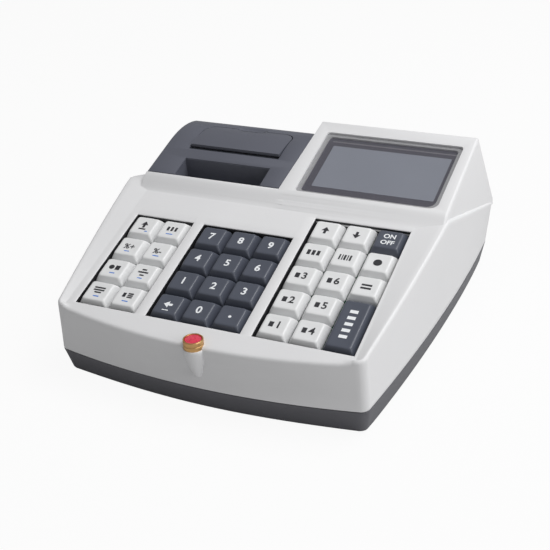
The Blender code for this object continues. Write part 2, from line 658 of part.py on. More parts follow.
def key_places():
    """Each key's name, centre on the key plane, width and depth in pitches, and look."""
    names = {
        "left": (("function", "quantity"), ("price", "void"), ("percent_plus", "percent_minus"),
                 ("feed", "mode")),
        "middle": (("clear", "0", "point"), ("1", "2", "3"), ("4", "5", "6"), ("7", "8", "9")),
        "right": (("d1", "d4", "total"), ("d2", "d5", None), ("d3", "d6", "subtotal"),
                  ("department", "lookup", "pay"), ("up", "down", "power")),
    }
    for block, rows in names.items():
        for row, labels in enumerate(rows):
            for column, label in enumerate(labels):
                if label is None:
                    continue
                tall = 2 if label == "total" else 1
                dark = block == "middle" or label in ("total", "power")
                u = WELL_LEFT[block] + (column + 0.5) * KEY_PITCH
                v = (row + tall / 2) * KEY_PITCH
                yield "key_" + label, u, v, tall, DARK_KEY if dark else LIGHT_KEY


def make_keyboard():
    left = GRID_LEFT - BOARD_MARGIN
    right = GRID_LEFT + GRID_WIDTH + BOARD_MARGIN
    rear = KEY_ROWS["right"] * KEY_PITCH
    top = -BOARD_TOP_DEPTH
    board = box((left, 0, top - BOARD_THICKNESS), (right, rear, top))
    holes = [box((u - HOLE_HALF, v - HOLE_HALF, top - OVERRUN),
                 (u + HOLE_HALF, v + HOLE_HALF, top + OVERRUN))
             for _, u, v, _, _ in key_places()]
    cutter = joined(holes)
    board = combine(board, "DIFFERENCE", cutter)
    finish(placed(board, PANEL_FRAME), "keyboard_board", BOARD_GREEN)
    mat_top = -STEM_DEPTH - KEY_TRAVEL - GAP
    rim_top = top - BOARD_THICKNESS - GAP
    mat = box((left, 0, mat_top - MAT_THICKNESS), (right, rear, rim_top))
    tub = box((left + MAT_RIM, MAT_RIM, mat_top), (right - MAT_RIM, rear - MAT_RIM, rim_top + OVERRUN))
    finish(placed(combine(mat, "DIFFERENCE", tub), PANEL_FRAME), "key_mat", GREY_RUBBER)


def joined(objects):
    """Several separate solids as one mesh, for use as one cutter."""
    work = bmesh.new()
    for obj in objects:
        work.from_mesh(obj.data)
        bpy.data.objects.remove(obj, do_unlink=True)
    mesh = bpy.data.meshes.new("joined")
    work.to_mesh(mesh)
    work.free()
    obj = bpy.data.objects.new("joined", mesh)
    cutters.objects.link(obj)
    return obj


# Key caps: a tapered cap with a dished top edge and a square stem
CAP_TOP_INSET = 0.0022
CAP_ROUND = 0.0006


def make_keys():
    for name, u, v, tall, look in key_places():
        half_width = (KEY_PITCH - KEY_CLEARANCE) / 2
        half_depth = (tall * KEY_PITCH - KEY_CLEARANCE) / 2
        work = bmesh.new()
        bmesh.ops.create_cube(work, size=2)
        for vert in work.verts:
            inset = CAP_TOP_INSET if vert.co.z > 0 else 0
            vert.co.x *= half_width - inset
            vert.co.y *= half_depth - inset
            vert.co.z = CAP_RISE if vert.co.z > 0 else -CAP_SKIRT_DEPTH
        upper = [edge for edge in work.edges if max(vert.co.z for vert in edge.verts) > 0]
        bmesh.ops.bevel(work, geom=upper, offset=CAP_ROUND, segments=1, profile=0.5, affect="EDGES")
        mesh = bpy.data.meshes.new(name)
        work.to_mesh(mesh)
        work.free()
        cap = bpy.data.objects.new(name, mesh)
        cutters.objects.link(cap)
        stem = box((-STEM_HALF, -STEM_HALF, -STEM_DEPTH), (STEM_HALF, STEM_HALF, -CAP_SKIRT_DEPTH / 2))
        cap = combine(cap, "UNION", stem)
        placed(cap, PANEL_FRAME @ Matrix.Translation((u, v, 0)))
        origin = PANEL_FRAME @ Vector((u, v, 0))
        finish(cap, name, look, origin, PANEL_FRAME.to_3x3())


def make_display():
    lens_low = POD_OFFSET - WINDOW_POCKET + GAP
    finish(window_prism(GAP, lens_low, POD_OFFSET - GAP), "display_window", SMOKED_LENS)
    low = POD_OFFSET - WALL - GAP - MODULE_THICKNESS
    module = box((WINDOW_LEFT + GAP, WINDOW_FRONT + MODULE_FRONT_INSET, low),
                 (WINDOW_LEFT + WINDOW_WIDTH - GAP, WINDOW_FRONT + WINDOW_DEPTH - GAP,
                  low + MODULE_THICKNESS))
    finish(placed(module, PANEL_FRAME), "display_module", LCD_GREY)


# Printer cover: dark shell whose roof follows the pod's face and then crowns down
LID_OUTER_INSET = 0.0180
LID_INNER_INSET = 0.0110
LID_LEFT = COVER_LEFT + LID_OUTER_INSET
LID_RIGHT = COVER_RIGHT - LID_INNER_INSET
LID_FRONT_RUN = 0.1490
LID_REAR_RUN = 0.1760
LID_SLOT = 0.0025
LID_CLEARANCE = 0.0004
LID_CORNER = 0.008
HINGE_INSET = 0.0020
HINGE_SINK = 0.0032
HINGE_ROD_RADIUS = 0.0017
HINGE_SIDES = 12
PIVOT_LENGTH = 0.0030
EAR_WIDTH = 0.0050
EAR_REACH = 0.0035
SCOOP_RADIUS = 0.0090
SCOOP_WIDTH = 0.0190
SCOOP_DEPTH = 0.0010
SCOOP_REAR_SHIFT = 0.0020
SCOOP_SIDES = 48
RECESS_OUTER_INSET = 0.0200
RECESS_INNER_INSET = 0.0120
RECESS_LEFT = COVER_LEFT + RECESS_OUTER_INSET
RECESS_RIGHT = COVER_RIGHT - RECESS_INNER_INSET
RECESS_DEPTH = 0.0165
COVER_ROUND = 0.0018
CROWN_REAR_INSET_SHARE = 0.5


def cover_roof(inset=0.0):
    """Points of the cover's roof line from front to rear, drawn in by an inset."""
    points = [(Y_FRONT + COVER_FRONT_RUN + inset, 0),
              (Y_FRONT + CROWN_MIDDLE_RUN, CROWN_MIDDLE_DROP),
              (Y_FRONT + CROWN_LATE_RUN, CROWN_LATE_DROP),
              (Y_FRONT + CROWN_REAR_RUN - inset * CROWN_REAR_INSET_SHARE, CROWN_REAR_DROP),
              (Y_FRONT + CROWN_EDGE_RUN - inset, CROWN_EDGE_DROP)]
    return [(y, panel_height(y, POD_OFFSET - inset) - drop) for y, drop in points]


def roof_height(y):
    """Height of the cover's roof at a depth y."""
    roof = cover_roof()
    for (y0, z0), (y1, z1) in zip(roof, roof[1:]):
        if y <= y1:
            return z0 + (z1 - z0) * (y - y0) / (y1 - y0)
    return roof[-1][1]


def cover_outline(inset=0.0):
    roof = cover_roof(inset)
    low = POD_REAR_HEIGHT - POD_SINK - inset * 2
    return roof + [(Y_POD_REAR - inset, POD_REAR_HEIGHT), (Y_POD_REAR - inset, low), (roof[0][0], low)]


LID_MIDDLE = (LID_LEFT + LID_RIGHT) / 2
Y_HINGE = Y_FRONT + LID_FRONT_RUN + HINGE_INSET
Z_HINGE = roof_height(Y_HINGE) - HINGE_SINK


def hinge_rod(radius, overhang):
    """A rod on the lid's hinge axis that stands out past both of its sides."""
    return rod(radius, (LID_LEFT - overhang, Y_HINGE, Z_HINGE), (LID_RIGHT + overhang, Y_HINGE, Z_HINGE),
               HINGE_SIDES)


def finger_scoop():
    """The shallow dent across the lid's rear edge."""
    y = Y_FRONT + LID_REAR_RUN + SCOOP_REAR_SHIFT
    z = roof_height(y) + SCOOP_RADIUS - SCOOP_DEPTH
    return rod(SCOOP_RADIUS, (LID_MIDDLE - SCOOP_WIDTH / 2, y, z), (LID_MIDDLE + SCOOP_WIDTH / 2, y, z),
               SCOOP_SIDES)


def lid_plan(margin, front_margin):
    """The lid's outline from above, with round rear corners, grown by margins."""
    left = LID_LEFT - margin
    right = LID_RIGHT + margin
    front = Y_FRONT + LID_FRONT_RUN - front_margin
    rear = Y_FRONT + LID_REAR_RUN + margin
    radius = LID_CORNER + margin
    outline = [(left, front), (right, front)]
    for centre, start in ((right - radius, 0), (left + radius, 0.5)):
        for step in range(CORNER_STEPS + 1):
            angle = math.pi * (start + 0.5 * step / CORNER_STEPS)
            outline.append((centre + radius * math.cos(angle), rear - radius + radius * math.sin(angle)))
    return outline


def make_printer_cover():
    cover = prism(cover_outline(), COVER_LEFT, COVER_RIGHT + POD_LEFT_REAR - POD_LEFT)
    cover = round_edges(cover, COVER_ROUND, 2, lambda edge: edge.calc_face_angle(0) > SHARP_ANGLE
                        and max(vert.co.x for vert in edge.verts) < COVER_LEFT + GAP
                        and min(vert.co.z for vert in edge.verts) > POD_REAR_HEIGHT - GAP)
    inner = prism(cover_outline(COVER_WALL), COVER_LEFT + COVER_WALL, COVER_RIGHT - COVER_WALL)
    below = prism(shoulder_outline(-GAP), -BODY_DEPTH, BODY_DEPTH)
    cover = combine(cover, "DIFFERENCE", beside_pod(COVER_RIGHT, OVERRUN), inner, below)
    ears = []
    for side, sign in ((LID_LEFT - LID_CLEARANCE, -1), (LID_RIGHT + LID_CLEARANCE, 1)):
        low = (min(side, side + sign * EAR_WIDTH), Y_HINGE - EAR_REACH, Z_HINGE - EAR_REACH)
        high = (max(side, side + sign * EAR_WIDTH), Y_HINGE + EAR_REACH, Z_HINGE + HINGE_ROD_RADIUS)
        ears.append(box(low, high))
    cover = combine(cover, "UNION", *ears)
    sky = RIDGE_LEVEL + BODY_DEPTH
    opening = prism(lid_plan(LID_CLEARANCE, LID_SLOT), RIDGE_LEVEL, sky, "Z")
    y_recess = Y_FRONT + COVER_FRONT_RUN
    recess = box((RECESS_LEFT, y_recess - OVERRUN, PARTING_HEIGHT),
                 (RECESS_RIGHT, y_recess + RECESS_DEPTH, sky))
    bore = hinge_rod(HINGE_ROD_RADIUS + GAP, PIVOT_LENGTH + GAP * 2)
    cover = combine(cover, "DIFFERENCE", opening, recess, bore, finger_scoop())
    finish(cover, "printer_cover", DARK_SHELL)


def make_paper_lid():
    plate = prism(cover_outline(), LID_LEFT, LID_RIGHT)
    under = prism(cover_outline(COVER_WALL), LID_LEFT - OVERRUN, LID_RIGHT + OVERRUN)
    plate = combine(plate, "DIFFERENCE", under)
    keep = prism(lid_plan(0, 0), RIDGE_LEVEL, RIDGE_LEVEL + BODY_DEPTH, "Z")
    plate = combine(plate, "INTERSECT", keep)
    lid = combine(plate, "UNION", hinge_rod(HINGE_ROD_RADIUS, PIVOT_LENGTH))
    lid = combine(lid, "DIFFERENCE", finger_scoop())
    finish(lid, "paper_lid", DARK_SHELL, (LID_MIDDLE, Y_HINGE, Z_HINGE))


# Printer mechanism: a folded frame with a paper cradle, a head, a platen and its drive
FRAME_OUTER_INSET = 0.0160
FRAME_INNER_INSET = 0.0090
FRAME_LEFT = COVER_LEFT + FRAME_OUTER_INSET
FRAME_RIGHT = COVER_RIGHT - FRAME_INNER_INSET
FRAME_PLATE = 0.0020
FRAME_FRONT_RUN = 0.1258
FRAME_REAR_RUN = 0.1840
FRAME_TOP = 0.0730
PLATEN_RUN = 0.1340
PLATEN_HEIGHT = 0.0650
PLATEN_RADIUS = 0.0055
SHAFT_RADIUS = 0.0020
ROLL_RUN = 0.1648
ROLL_HEIGHT = 0.0690
ROLL_RADIUS = 0.0145
ROLL_CORE_RADIUS = 0.0060
ROLL_SIDE_ROOM = 0.0045
ROLL_WIDTH = FRAME_RIGHT - FRAME_LEFT - ROLL_SIDE_ROOM * 2
ROLL_SIDES = 32
CRADLE_DEPTH = 0.0110
CRADLE_HALF = 0.0160
HEAD_THICKNESS = 0.0035
HEAD_HEIGHT = 0.0150
TEAR_BAR_DEPTH = 0.0050
TEAR_BAR_THICKNESS = 0.0010
TEAR_TEETH = 28
TEAR_TOOTH = 0.0009
SHAFT_SIDES = 16
GEAR_MODULE = 0.0008
PLATEN_TEETH = 24
PINION_TEETH = 10
GEAR_BACKLASH = 0.0002
GEAR_WIDTH = 0.0035
ADDENDUM_SHARE = 0.7
DEDENDUM_SHARE = 1.0
TOOTH_TIP_SHARE = 0.11
TOOTH_ROOT_SHARE = 0.26
MOTOR_RADIUS = 0.0072
MOTOR_LENGTH = 0.0150
MOTOR_SHAFT_RADIUS = 0.0010
MOTOR_HOLE_RADIUS = 0.0020
Y_PLATEN = Y_FRONT + PLATEN_RUN
Y_ROLL = Y_FRONT + ROLL_RUN
GEAR_DISTANCE = GEAR_MODULE * (PLATEN_TEETH + PINION_TEETH) / 2 + GEAR_BACKLASH
MOTOR_HEIGHT = PLATEN_HEIGHT - GEAR_DISTANCE
GEAR_RIGHT = FRAME_LEFT - GAP
GEAR_LEFT = GEAR_RIGHT - GEAR_WIDTH


def make_printer_frame():
    low = FOOT_HEIGHT + WALL + GAP
    front = Y_FRONT + FRAME_FRONT_RUN
    rear = Y_FRONT + FRAME_REAR_RUN
    frame = box((FRAME_LEFT, front, low), (FRAME_RIGHT, rear, FRAME_TOP))
    inside = box((FRAME_LEFT + FRAME_PLATE, front - OVERRUN, low + FRAME_PLATE),
                 (FRAME_RIGHT - FRAME_PLATE, rear + OVERRUN, FRAME_TOP + OVERRUN))
    frame = combine(frame, "DIFFERENCE", inside)
    cradle_top = ROLL_HEIGHT - ROLL_RADIUS + CRADLE_DEPTH
    cradle_low = ROLL_HEIGHT - ROLL_RADIUS - FRAME_PLATE
    cradle = box((FRAME_LEFT + FRAME_PLATE / 2, Y_ROLL - CRADLE_HALF, cradle_low),
                 (FRAME_RIGHT - FRAME_PLATE / 2, Y_ROLL + CRADLE_HALF, cradle_top))
    frame = combine(frame, "UNION", cradle)
    trough = rod(ROLL_RADIUS + GAP, (FRAME_LEFT + FRAME_PLATE, Y_ROLL, ROLL_HEIGHT),
                 (FRAME_RIGHT - FRAME_PLATE, Y_ROLL, ROLL_HEIGHT), ROLL_SIDES)
    shaft_hole = rod(SHAFT_RADIUS + GAP, (FRAME_LEFT - OVERRUN, Y_PLATEN, PLATEN_HEIGHT),
                     (FRAME_RIGHT + OVERRUN, Y_PLATEN, PLATEN_HEIGHT), SHAFT_SIDES)
    motor_hole = rod(MOTOR_HOLE_RADIUS, (FRAME_LEFT - OVERRUN, Y_PLATEN, MOTOR_HEIGHT),
                     (FRAME_LEFT + FRAME_PLATE * 2, Y_PLATEN, MOTOR_HEIGHT), SHAFT_SIDES)
    frame = combine(frame, "DIFFERENCE", trough, shaft_hole, motor_hole)
    finish(frame, "printer_frame", STEEL)


def make_printer_pieces():
    inner_left = FRAME_LEFT + FRAME_PLATE + GAP
    inner_right = FRAME_RIGHT - FRAME_PLATE - GAP
    head_front = Y_PLATEN + PLATEN_RADIUS + GAP
    head = box((inner_left, head_front, PLATEN_HEIGHT - HEAD_HEIGHT / 2),
               (inner_right, head_front + HEAD_THICKNESS, PLATEN_HEIGHT + HEAD_HEIGHT / 2))
    finish(head, "print_head", STEEL)
    sleeve_left = inner_left + GAP
    sleeve_right = inner_right - GAP
    sleeve = rod(PLATEN_RADIUS, (sleeve_left, Y_PLATEN, PLATEN_HEIGHT),
                 (sleeve_right, Y_PLATEN, PLATEN_HEIGHT), SHAFT_SIDES)
    bore = rod(SHAFT_RADIUS + GAP, (sleeve_left - GAP, Y_PLATEN, PLATEN_HEIGHT),
               (sleeve_right + GAP, Y_PLATEN, PLATEN_HEIGHT), SHAFT_SIDES)
    axis = (0, Y_PLATEN, PLATEN_HEIGHT)
    finish(combine(sleeve, "DIFFERENCE", bore), "platen_roller", BLACK_RUBBER, axis)
    shaft = rod(SHAFT_RADIUS, (GEAR_LEFT, Y_PLATEN, PLATEN_HEIGHT),
                (FRAME_RIGHT + FRAME_PLATE, Y_PLATEN, PLATEN_HEIGHT), SHAFT_SIDES)
    finish(shaft, "platen_shaft", STEEL, axis)
    finish(gear(PLATEN_TEETH, SHAFT_RADIUS + GAP, Y_PLATEN, PLATEN_HEIGHT, 0.5), "platen_gear",
           WHITE_GEAR, axis)
    finish(gear(PINION_TEETH, MOTOR_SHAFT_RADIUS + GAP, Y_PLATEN, MOTOR_HEIGHT, 0), "motor_gear",
           BRASS, (0, Y_PLATEN, MOTOR_HEIGHT))
    can = rod(MOTOR_RADIUS, (inner_left, Y_PLATEN, MOTOR_HEIGHT),
              (inner_left + MOTOR_LENGTH, Y_PLATEN, MOTOR_HEIGHT), SHAFT_SIDES)
    spindle = rod(MOTOR_SHAFT_RADIUS, (GEAR_LEFT, Y_PLATEN, MOTOR_HEIGHT),
                  (inner_left + GAP, Y_PLATEN, MOTOR_HEIGHT), SHAFT_SIDES)
    finish(combine(can, "UNION", spindle), "feed_motor", STEEL)
    middle = (FRAME_LEFT + FRAME_RIGHT) / 2
    roll = rod(ROLL_RADIUS, (middle - ROLL_WIDTH / 2, Y_ROLL, ROLL_HEIGHT),
               (middle + ROLL_WIDTH / 2, Y_ROLL, ROLL_HEIGHT), ROLL_SIDES)
    core = rod(ROLL_CORE_RADIUS, (middle - ROLL_WIDTH, Y_ROLL, ROLL_HEIGHT),
               (middle + ROLL_WIDTH, Y_ROLL, ROLL_HEIGHT), SHAFT_SIDES)
    finish(combine(roll, "DIFFERENCE", core), "paper_roll", WHITE_PAPER, (middle, Y_ROLL, ROLL_HEIGHT))
    make_tear_bar()


def gear(teeth, bore_radius, y, z, phase):
    """A spur gear on an X axis; the phase turns it by that share of a tooth from facing down."""
    pitch_radius = GEAR_MODULE * teeth / 2
    tip = pitch_radius + GEAR_MODULE * ADDENDUM_SHARE
    root = pitch_radius - GEAR_MODULE * DEDENDUM_SHARE
    outline = []
    facing = -math.pi / 2 if phase else math.pi / 2
    for tooth in range(teeth):
        middle = facing + 2 * math.pi * (tooth + phase) / teeth
        step = 2 * math.pi / teeth
        for radius, share in ((root, -TOOTH_ROOT_SHARE), (tip, -TOOTH_TIP_SHARE), (tip, TOOTH_TIP_SHARE),
                              (root, TOOTH_ROOT_SHARE)):
            angle = middle + step * share
            outline.append((y + radius * math.cos(angle), z + radius * math.sin(angle)))
    wheel = prism(outline, GEAR_LEFT, GEAR_RIGHT)
    bore = rod(bore_radius, (GEAR_LEFT - OVERRUN, y, z), (GEAR_RIGHT + OVERRUN, y, z), SHAFT_SIDES)
    return combine(wheel, "DIFFERENCE", bore)


def make_tear_bar():
    front = Y_FRONT + FRAME_FRONT_RUN + TEAR_TOOTH
    outline = [(FRAME_RIGHT, front + TEAR_BAR_DEPTH), (FRAME_LEFT, front + TEAR_BAR_DEPTH)]
    for tooth in range(TEAR_TEETH):
        left = FRAME_LEFT + (FRAME_RIGHT - FRAME_LEFT) * tooth / TEAR_TEETH
        right = FRAME_LEFT + (FRAME_RIGHT - FRAME_LEFT) * (tooth + 0.5) / TEAR_TEETH
        outline.append((left, front))
        outline.append((right, front - TEAR_TOOTH))
    outline.append((FRAME_RIGHT, front))
    bar = prism(outline, FRAME_TOP + GAP, FRAME_TOP + GAP + TEAR_BAR_THICKNESS, "Z")
    finish(bar, "tear_bar", STEEL)


def turned(profile, name, look, origin):
    """A turned piece from (radius, height) points that run down the outside, around Z."""
    curve_mesh = bpy.data.meshes.new(name)
    work = bmesh.new()
    rows = [work.verts.new((radius, 0, height)) for radius, height in profile]
    for first, second in zip(rows, rows[1:]):
        work.edges.new((first, second))
    work.to_mesh(curve_mesh)
    work.free()
    obj = bpy.data.objects.new(name, curve_mesh)
    cutters.objects.link(obj)
    step = obj.modifiers.new("screw", "SCREW")
    step.steps = SEAL_SIDES
    step.render_steps = SEAL_SIDES
    step.use_merge_vertices = True
    step.merge_threshold = WELD
    step.use_normal_calculate = True
    obj = bake(obj)
    work = bmesh.new()
    work.from_mesh(obj.data)
    bmesh.ops.recalc_face_normals(work, faces=work.faces)
    work.to_mesh(obj.data)
    work.free()
    obj.data.transform(Matrix.Translation(origin))
    return finish(obj, name, look)


def make_seal():
    bottom = SEAL_BOSS_TOP + GAP
    place = (0, Y_SEAL, bottom)
    inner = SEAL_CUP_RADIUS - SEAL_CUP_WALL
    turned([(0, 0), (SEAL_CUP_RADIUS, 0), (SEAL_CUP_RADIUS, SEAL_CUP_HEIGHT), (inner, SEAL_CUP_HEIGHT),
            (inner, SEAL_CUP_WALL), (0, SEAL_CUP_WALL)][::-1], "seal_cup", BRASS, place)
    wax = inner - GAP
    wax_low = SEAL_CUP_WALL + GAP
    turned([(0, SEAL_CUP_HEIGHT), (wax, SEAL_CUP_HEIGHT - SEAL_WAX_RISE), (wax, wax_low), (0, wax_low)],
           "seal_wax", RED_WAX, place)


# Feet
FOOT_RADIUS = 0.0065
FOOT_SIDE_INSET = 0.016
FOOT_FRONT_RUN = 0.0245
FOOT_REAR_INSET = 0.018
FOOT_REAR_RUN = BODY_DEPTH - FOOT_REAR_INSET
FOOT_SIDES = 20


def make_feet():
    for side, sign in (("left", -1), ("right", 1)):
        for end, run in (("front", FOOT_FRONT_RUN), ("rear", FOOT_REAR_RUN)):
            x = sign * (FRONT_HALF_WIDTH - FOOT_SIDE_INSET)
            y = Y_FRONT + run
            foot = rod(FOOT_RADIUS - GAP, (x, y, 0), (x, y, FOOT_HEIGHT - GAP), FOOT_SIDES, FOOT_RADIUS)
            finish(foot, "foot_" + end + "_" + side, BLACK_RUBBER)


# Rear sockets: one block with a round power inlet and a square data socket
JACK_RADIUS = 0.0040
JACK_SHARE = 0.26
DATA_SHARE = 0.70
DATA_HALF = 0.0060
DATA_HEIGHT_SHARE = 0.7
SOCKET_BORE = 0.008
PIN_RADIUS = 0.0010


def make_rear_sockets():
    outer = Y_REAR - REAR_BOW - SOCKET_LIP
    middle = SOCKET_LOW + SOCKET_HEIGHT / 2
    block = box((SOCKET_LEFT, outer - SOCKET_LENGTH, SOCKET_LOW),
                (SOCKET_LEFT + SOCKET_WIDTH, outer, SOCKET_LOW + SOCKET_HEIGHT))
    jack_x = SOCKET_LEFT + SOCKET_WIDTH * JACK_SHARE
    data_x = SOCKET_LEFT + SOCKET_WIDTH * DATA_SHARE
    half_height = SOCKET_HEIGHT * DATA_HEIGHT_SHARE / 2
    jack = rod(JACK_RADIUS, (jack_x, outer - SOCKET_BORE, middle), (jack_x, outer + OVERRUN, middle),
               SHAFT_SIDES)
    data = box((data_x - DATA_HALF, outer - SOCKET_BORE, middle - half_height),
               (data_x + DATA_HALF, outer + OVERRUN, middle + half_height))
    block = combine(block, "DIFFERENCE", jack, data)
    pin = rod(PIN_RADIUS, (jack_x, outer - SOCKET_BORE - GAP, middle), (jack_x, outer - SOCKET_LIP, middle),
              HINGE_SIDES)
    finish(combine(block, "UNION", pin), "rear_sockets", BLACK_PLASTIC)


make_upper_housing()
make_base_tray()
make_boards()
make_keyboard()
make_keys()
make_display()
make_printer_cover()
make_paper_lid()
make_printer_frame()
make_printer_pieces()
make_seal()
make_feet()
make_rear_sockets()
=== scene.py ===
import json
import math

import bmesh
import bpy
from mathutils import Matrix, Vector


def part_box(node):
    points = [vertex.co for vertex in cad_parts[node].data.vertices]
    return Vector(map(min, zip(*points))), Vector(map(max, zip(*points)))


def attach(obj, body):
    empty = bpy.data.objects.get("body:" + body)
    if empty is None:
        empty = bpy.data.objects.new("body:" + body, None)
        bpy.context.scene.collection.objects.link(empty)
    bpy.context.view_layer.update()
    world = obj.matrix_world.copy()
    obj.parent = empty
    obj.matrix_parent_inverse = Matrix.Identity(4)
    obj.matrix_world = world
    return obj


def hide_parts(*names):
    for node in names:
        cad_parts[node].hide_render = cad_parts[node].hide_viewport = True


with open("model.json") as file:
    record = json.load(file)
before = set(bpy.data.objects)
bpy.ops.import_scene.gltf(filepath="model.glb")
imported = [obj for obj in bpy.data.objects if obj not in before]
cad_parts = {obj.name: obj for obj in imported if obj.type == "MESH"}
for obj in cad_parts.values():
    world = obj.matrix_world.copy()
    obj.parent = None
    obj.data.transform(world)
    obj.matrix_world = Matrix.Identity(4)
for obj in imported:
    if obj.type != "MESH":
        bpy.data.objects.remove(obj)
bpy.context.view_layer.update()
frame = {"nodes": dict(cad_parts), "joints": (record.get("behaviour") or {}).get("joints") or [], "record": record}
cadNodes = frame["nodes"]
mm = 0.001
scene = bpy.context.scene
scene.view_settings.view_transform = "Standard"
frameSlots = {part["node"]: part["material_slot"] for part in frame["record"]["subparts"]}
print("frame loaded:", len(cadNodes), "nodes")

# the key plane, read from the keys' own joints
keyJoints = {joint["child"]: joint for joint in frame["joints"] if joint["child"].startswith("key_")}
pressAxis = Vector(keyJoints["key_1"]["axis"])
slope = math.atan2(pressAxis.y, -pressAxis.z)
slopeRise = math.tan(slope)
pitch = keyJoints["key_2"]["pos_m"][0] - keyJoints["key_1"]["pos_m"][0]
keyOneAt = Vector(keyJoints["key_1"]["pos_m"])
yKeys = keyOneAt.y - 1.5 * pitch * math.cos(slope)
zKeys = keyOneAt.z - 1.5 * pitch * math.sin(slope)
panelFrame = Matrix.Translation((0, yKeys, zKeys)) @ Matrix.Rotation(slope, 4, "X")

# the body's own limits, read from its nodes
trayLow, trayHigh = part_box("base_tray")
shellLow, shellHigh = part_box("upper_housing")
yFront, yRear = trayLow.y, trayHigh.y


def planeHeight(y, offset=0.0):
    return zKeys + (y - yKeys) * slopeRise + offset / math.cos(slope)


def soften(share):
    share = min(max(share, 0.0), 1.0)
    return share * share * (3 - 2 * share)


# camera, light and floor

cameraSet = {
    "place": (0.24759, -0.51963, 0.34083),
    "right": (0.910705, 0.40974, -0.053109),
    "down": (0.154775, -0.457377, -0.875705),
    "focal": 69.197,
    "sensor": 36.0,
}


def addCamera():
    right = Vector(cameraSet["right"]).normalized()
    up = -Vector(cameraSet["down"])
    up = (up - up.dot(right) * right).normalized()
    back = right.cross(up)
    data = bpy.data.cameras.new("photoCamera")
    data.lens = cameraSet["focal"]
    data.sensor_width = cameraSet["sensor"]
    data.clip_start = 10 * mm
    camera = bpy.data.objects.new("photoCamera", data)
    turn = Matrix((right, up, back)).transposed().to_4x4()
    camera.matrix_world = Matrix.Translation(cameraSet["place"]) @ turn
    scene.collection.objects.link(camera)
    scene.camera = camera


# materials

def addNode(tree, kind, settings=None, **values):
    # one node: its settings first, then its sockets' values or links by name
    node = tree.nodes.new(kind)
    for name, value in (settings or {}).items():
        setattr(node, name, value)
    for name, value in values.items():
        socket = node.inputs[name.replace("_", " ")]
        if hasattr(value, "is_output"):
            tree.links.new(value, socket)
        else:
            socket.default_value = value
    return node


class Shade:
    # a value inside one node tree: Python's own operators make its Math nodes
    def __init__(self, tree, socket):
        self.tree = tree
        self.socket = socket

    def maths(self, operation, first, second):
        node = addNode(self.tree, "ShaderNodeMath", {"operation": operation})
        for socket, item in zip(node.inputs, (first, second)):
            if isinstance(item, Shade):
                self.tree.links.new(item.socket, socket)
            else:
                socket.default_value = item
        return Shade(self.tree, node.outputs[0])

    def __add__(self, other):
        return self.maths("ADD", self, other)

    def __radd__(self, other):
        return self.maths("ADD", other, self)

    def __sub__(self, other):
        return self.maths("SUBTRACT", self, other)

    def __rsub__(self, other):
        return self.maths("SUBTRACT", other, self)

    def __mul__(self, other):
        return self.maths("MULTIPLY", self, other)

    def __rmul__(self, other):
        return self.maths("MULTIPLY", other, self)

    def __lt__(self, other):
        return self.maths("LESS_THAN", self, other)

    def ramp(self, low, high):
        # 0 below low, 1 above high, smooth between
        node = addNode(self.tree, "ShaderNodeMapRange", {"interpolation_type": "SMOOTHSTEP"}, Value=self.socket,
                       From_Min=low, From_Max=high)
        return Shade(self.tree, node.outputs[0])


class Finish:
    # one material: a Principled shader, and the nodes that vary it
    def __init__(self, name, colour, roughness, metallic=0.0):
        self.material = bpy.data.materials.new(name)
        self.material.use_nodes = True
        self.tree = self.material.node_tree
        self.shader = self.tree.nodes["Principled BSDF"]
        self.set("Base Color", (*colour, 1.0))
        self.set("Roughness", roughness)
        self.set("Metallic", metallic)
        self.place = self.add("ShaderNodeTexCoord", {}, "Object")

    def set(self, socket, value):
        self.shader.inputs[socket].default_value = value

    def add(self, kind, settings, output=0, **values):
        values = {name: value.socket if isinstance(value, Shade) else value for name, value in values.items()}
        return Shade(self.tree, addNode(self.tree, kind, settings, **values).outputs[output])

    def feed(self, socket, value):
        self.tree.links.new(value.socket, self.shader.inputs[socket])

    def noise(self, size, detail=3.0, stretch=(1.0, 1.0, 1.0)):
        # cloudy pattern whose features are about as large as size, in metres
        scaled = self.add("ShaderNodeMapping", {}, Vector=self.place, Scale=stretch)
        return self.add("ShaderNodeTexNoise", {}, Vector=scaled, Scale=1.0 / size, Detail=detail)

    def blendTo(self, amount, first, second):
        return self.add("ShaderNodeMixRGB", {}, Fac=amount, Color1=(*first, 1.0), Color2=(*second, 1.0))

    def bump(self, height, depth, strength=1.0):
        self.feed("Normal", self.add("ShaderNodeBump", {}, Height=height, Distance=depth, Strength=strength))


def shift(colour, factor):
    return tuple(min(channel * factor, 1.0) for channel in colour)


def mouldedPlastic(name, colour, roughness, grainSize=0.45 * mm, grainDepth=0.012 * mm, cloud=0.03):
    # fine spark-eroded grain, faint flow clouds, and roughness that follows both
    finish = Finish(name, colour, roughness)
    clouds = finish.noise(38 * mm, 2.0)
    grain = finish.noise(grainSize, 2.0)
    finish.feed("Base Color", finish.blendTo(clouds, shift(colour, 1 - cloud), shift(colour, 1 + cloud)))
    finish.feed("Roughness", (clouds - 0.5) * 0.10 + (grain - 0.5) * 0.16 + roughness)
    finish.bump(grain, grainDepth)
    finish.set("Specular IOR Level", 0.42)
    return finish.material


def metalFinish(name, colour, roughness, stretch=(1.0, 18.0, 18.0), depth=0.01 * mm):
    # fine lines along one axis, and a few duller patches
    finish = Finish(name, colour, roughness, 1.0)
    lines = finish.noise(2.2 * mm, 3.0, stretch)
    patches = finish.noise(9 * mm, 2.0)
    finish.feed("Base Color", finish.blendTo(patches, shift(colour, 0.86), shift(colour, 1.08)))
    finish.feed("Roughness", (lines - 0.5) * 0.3 + (patches - 0.5) * 0.12 + roughness)
    finish.bump(lines, depth)
    return finish.material


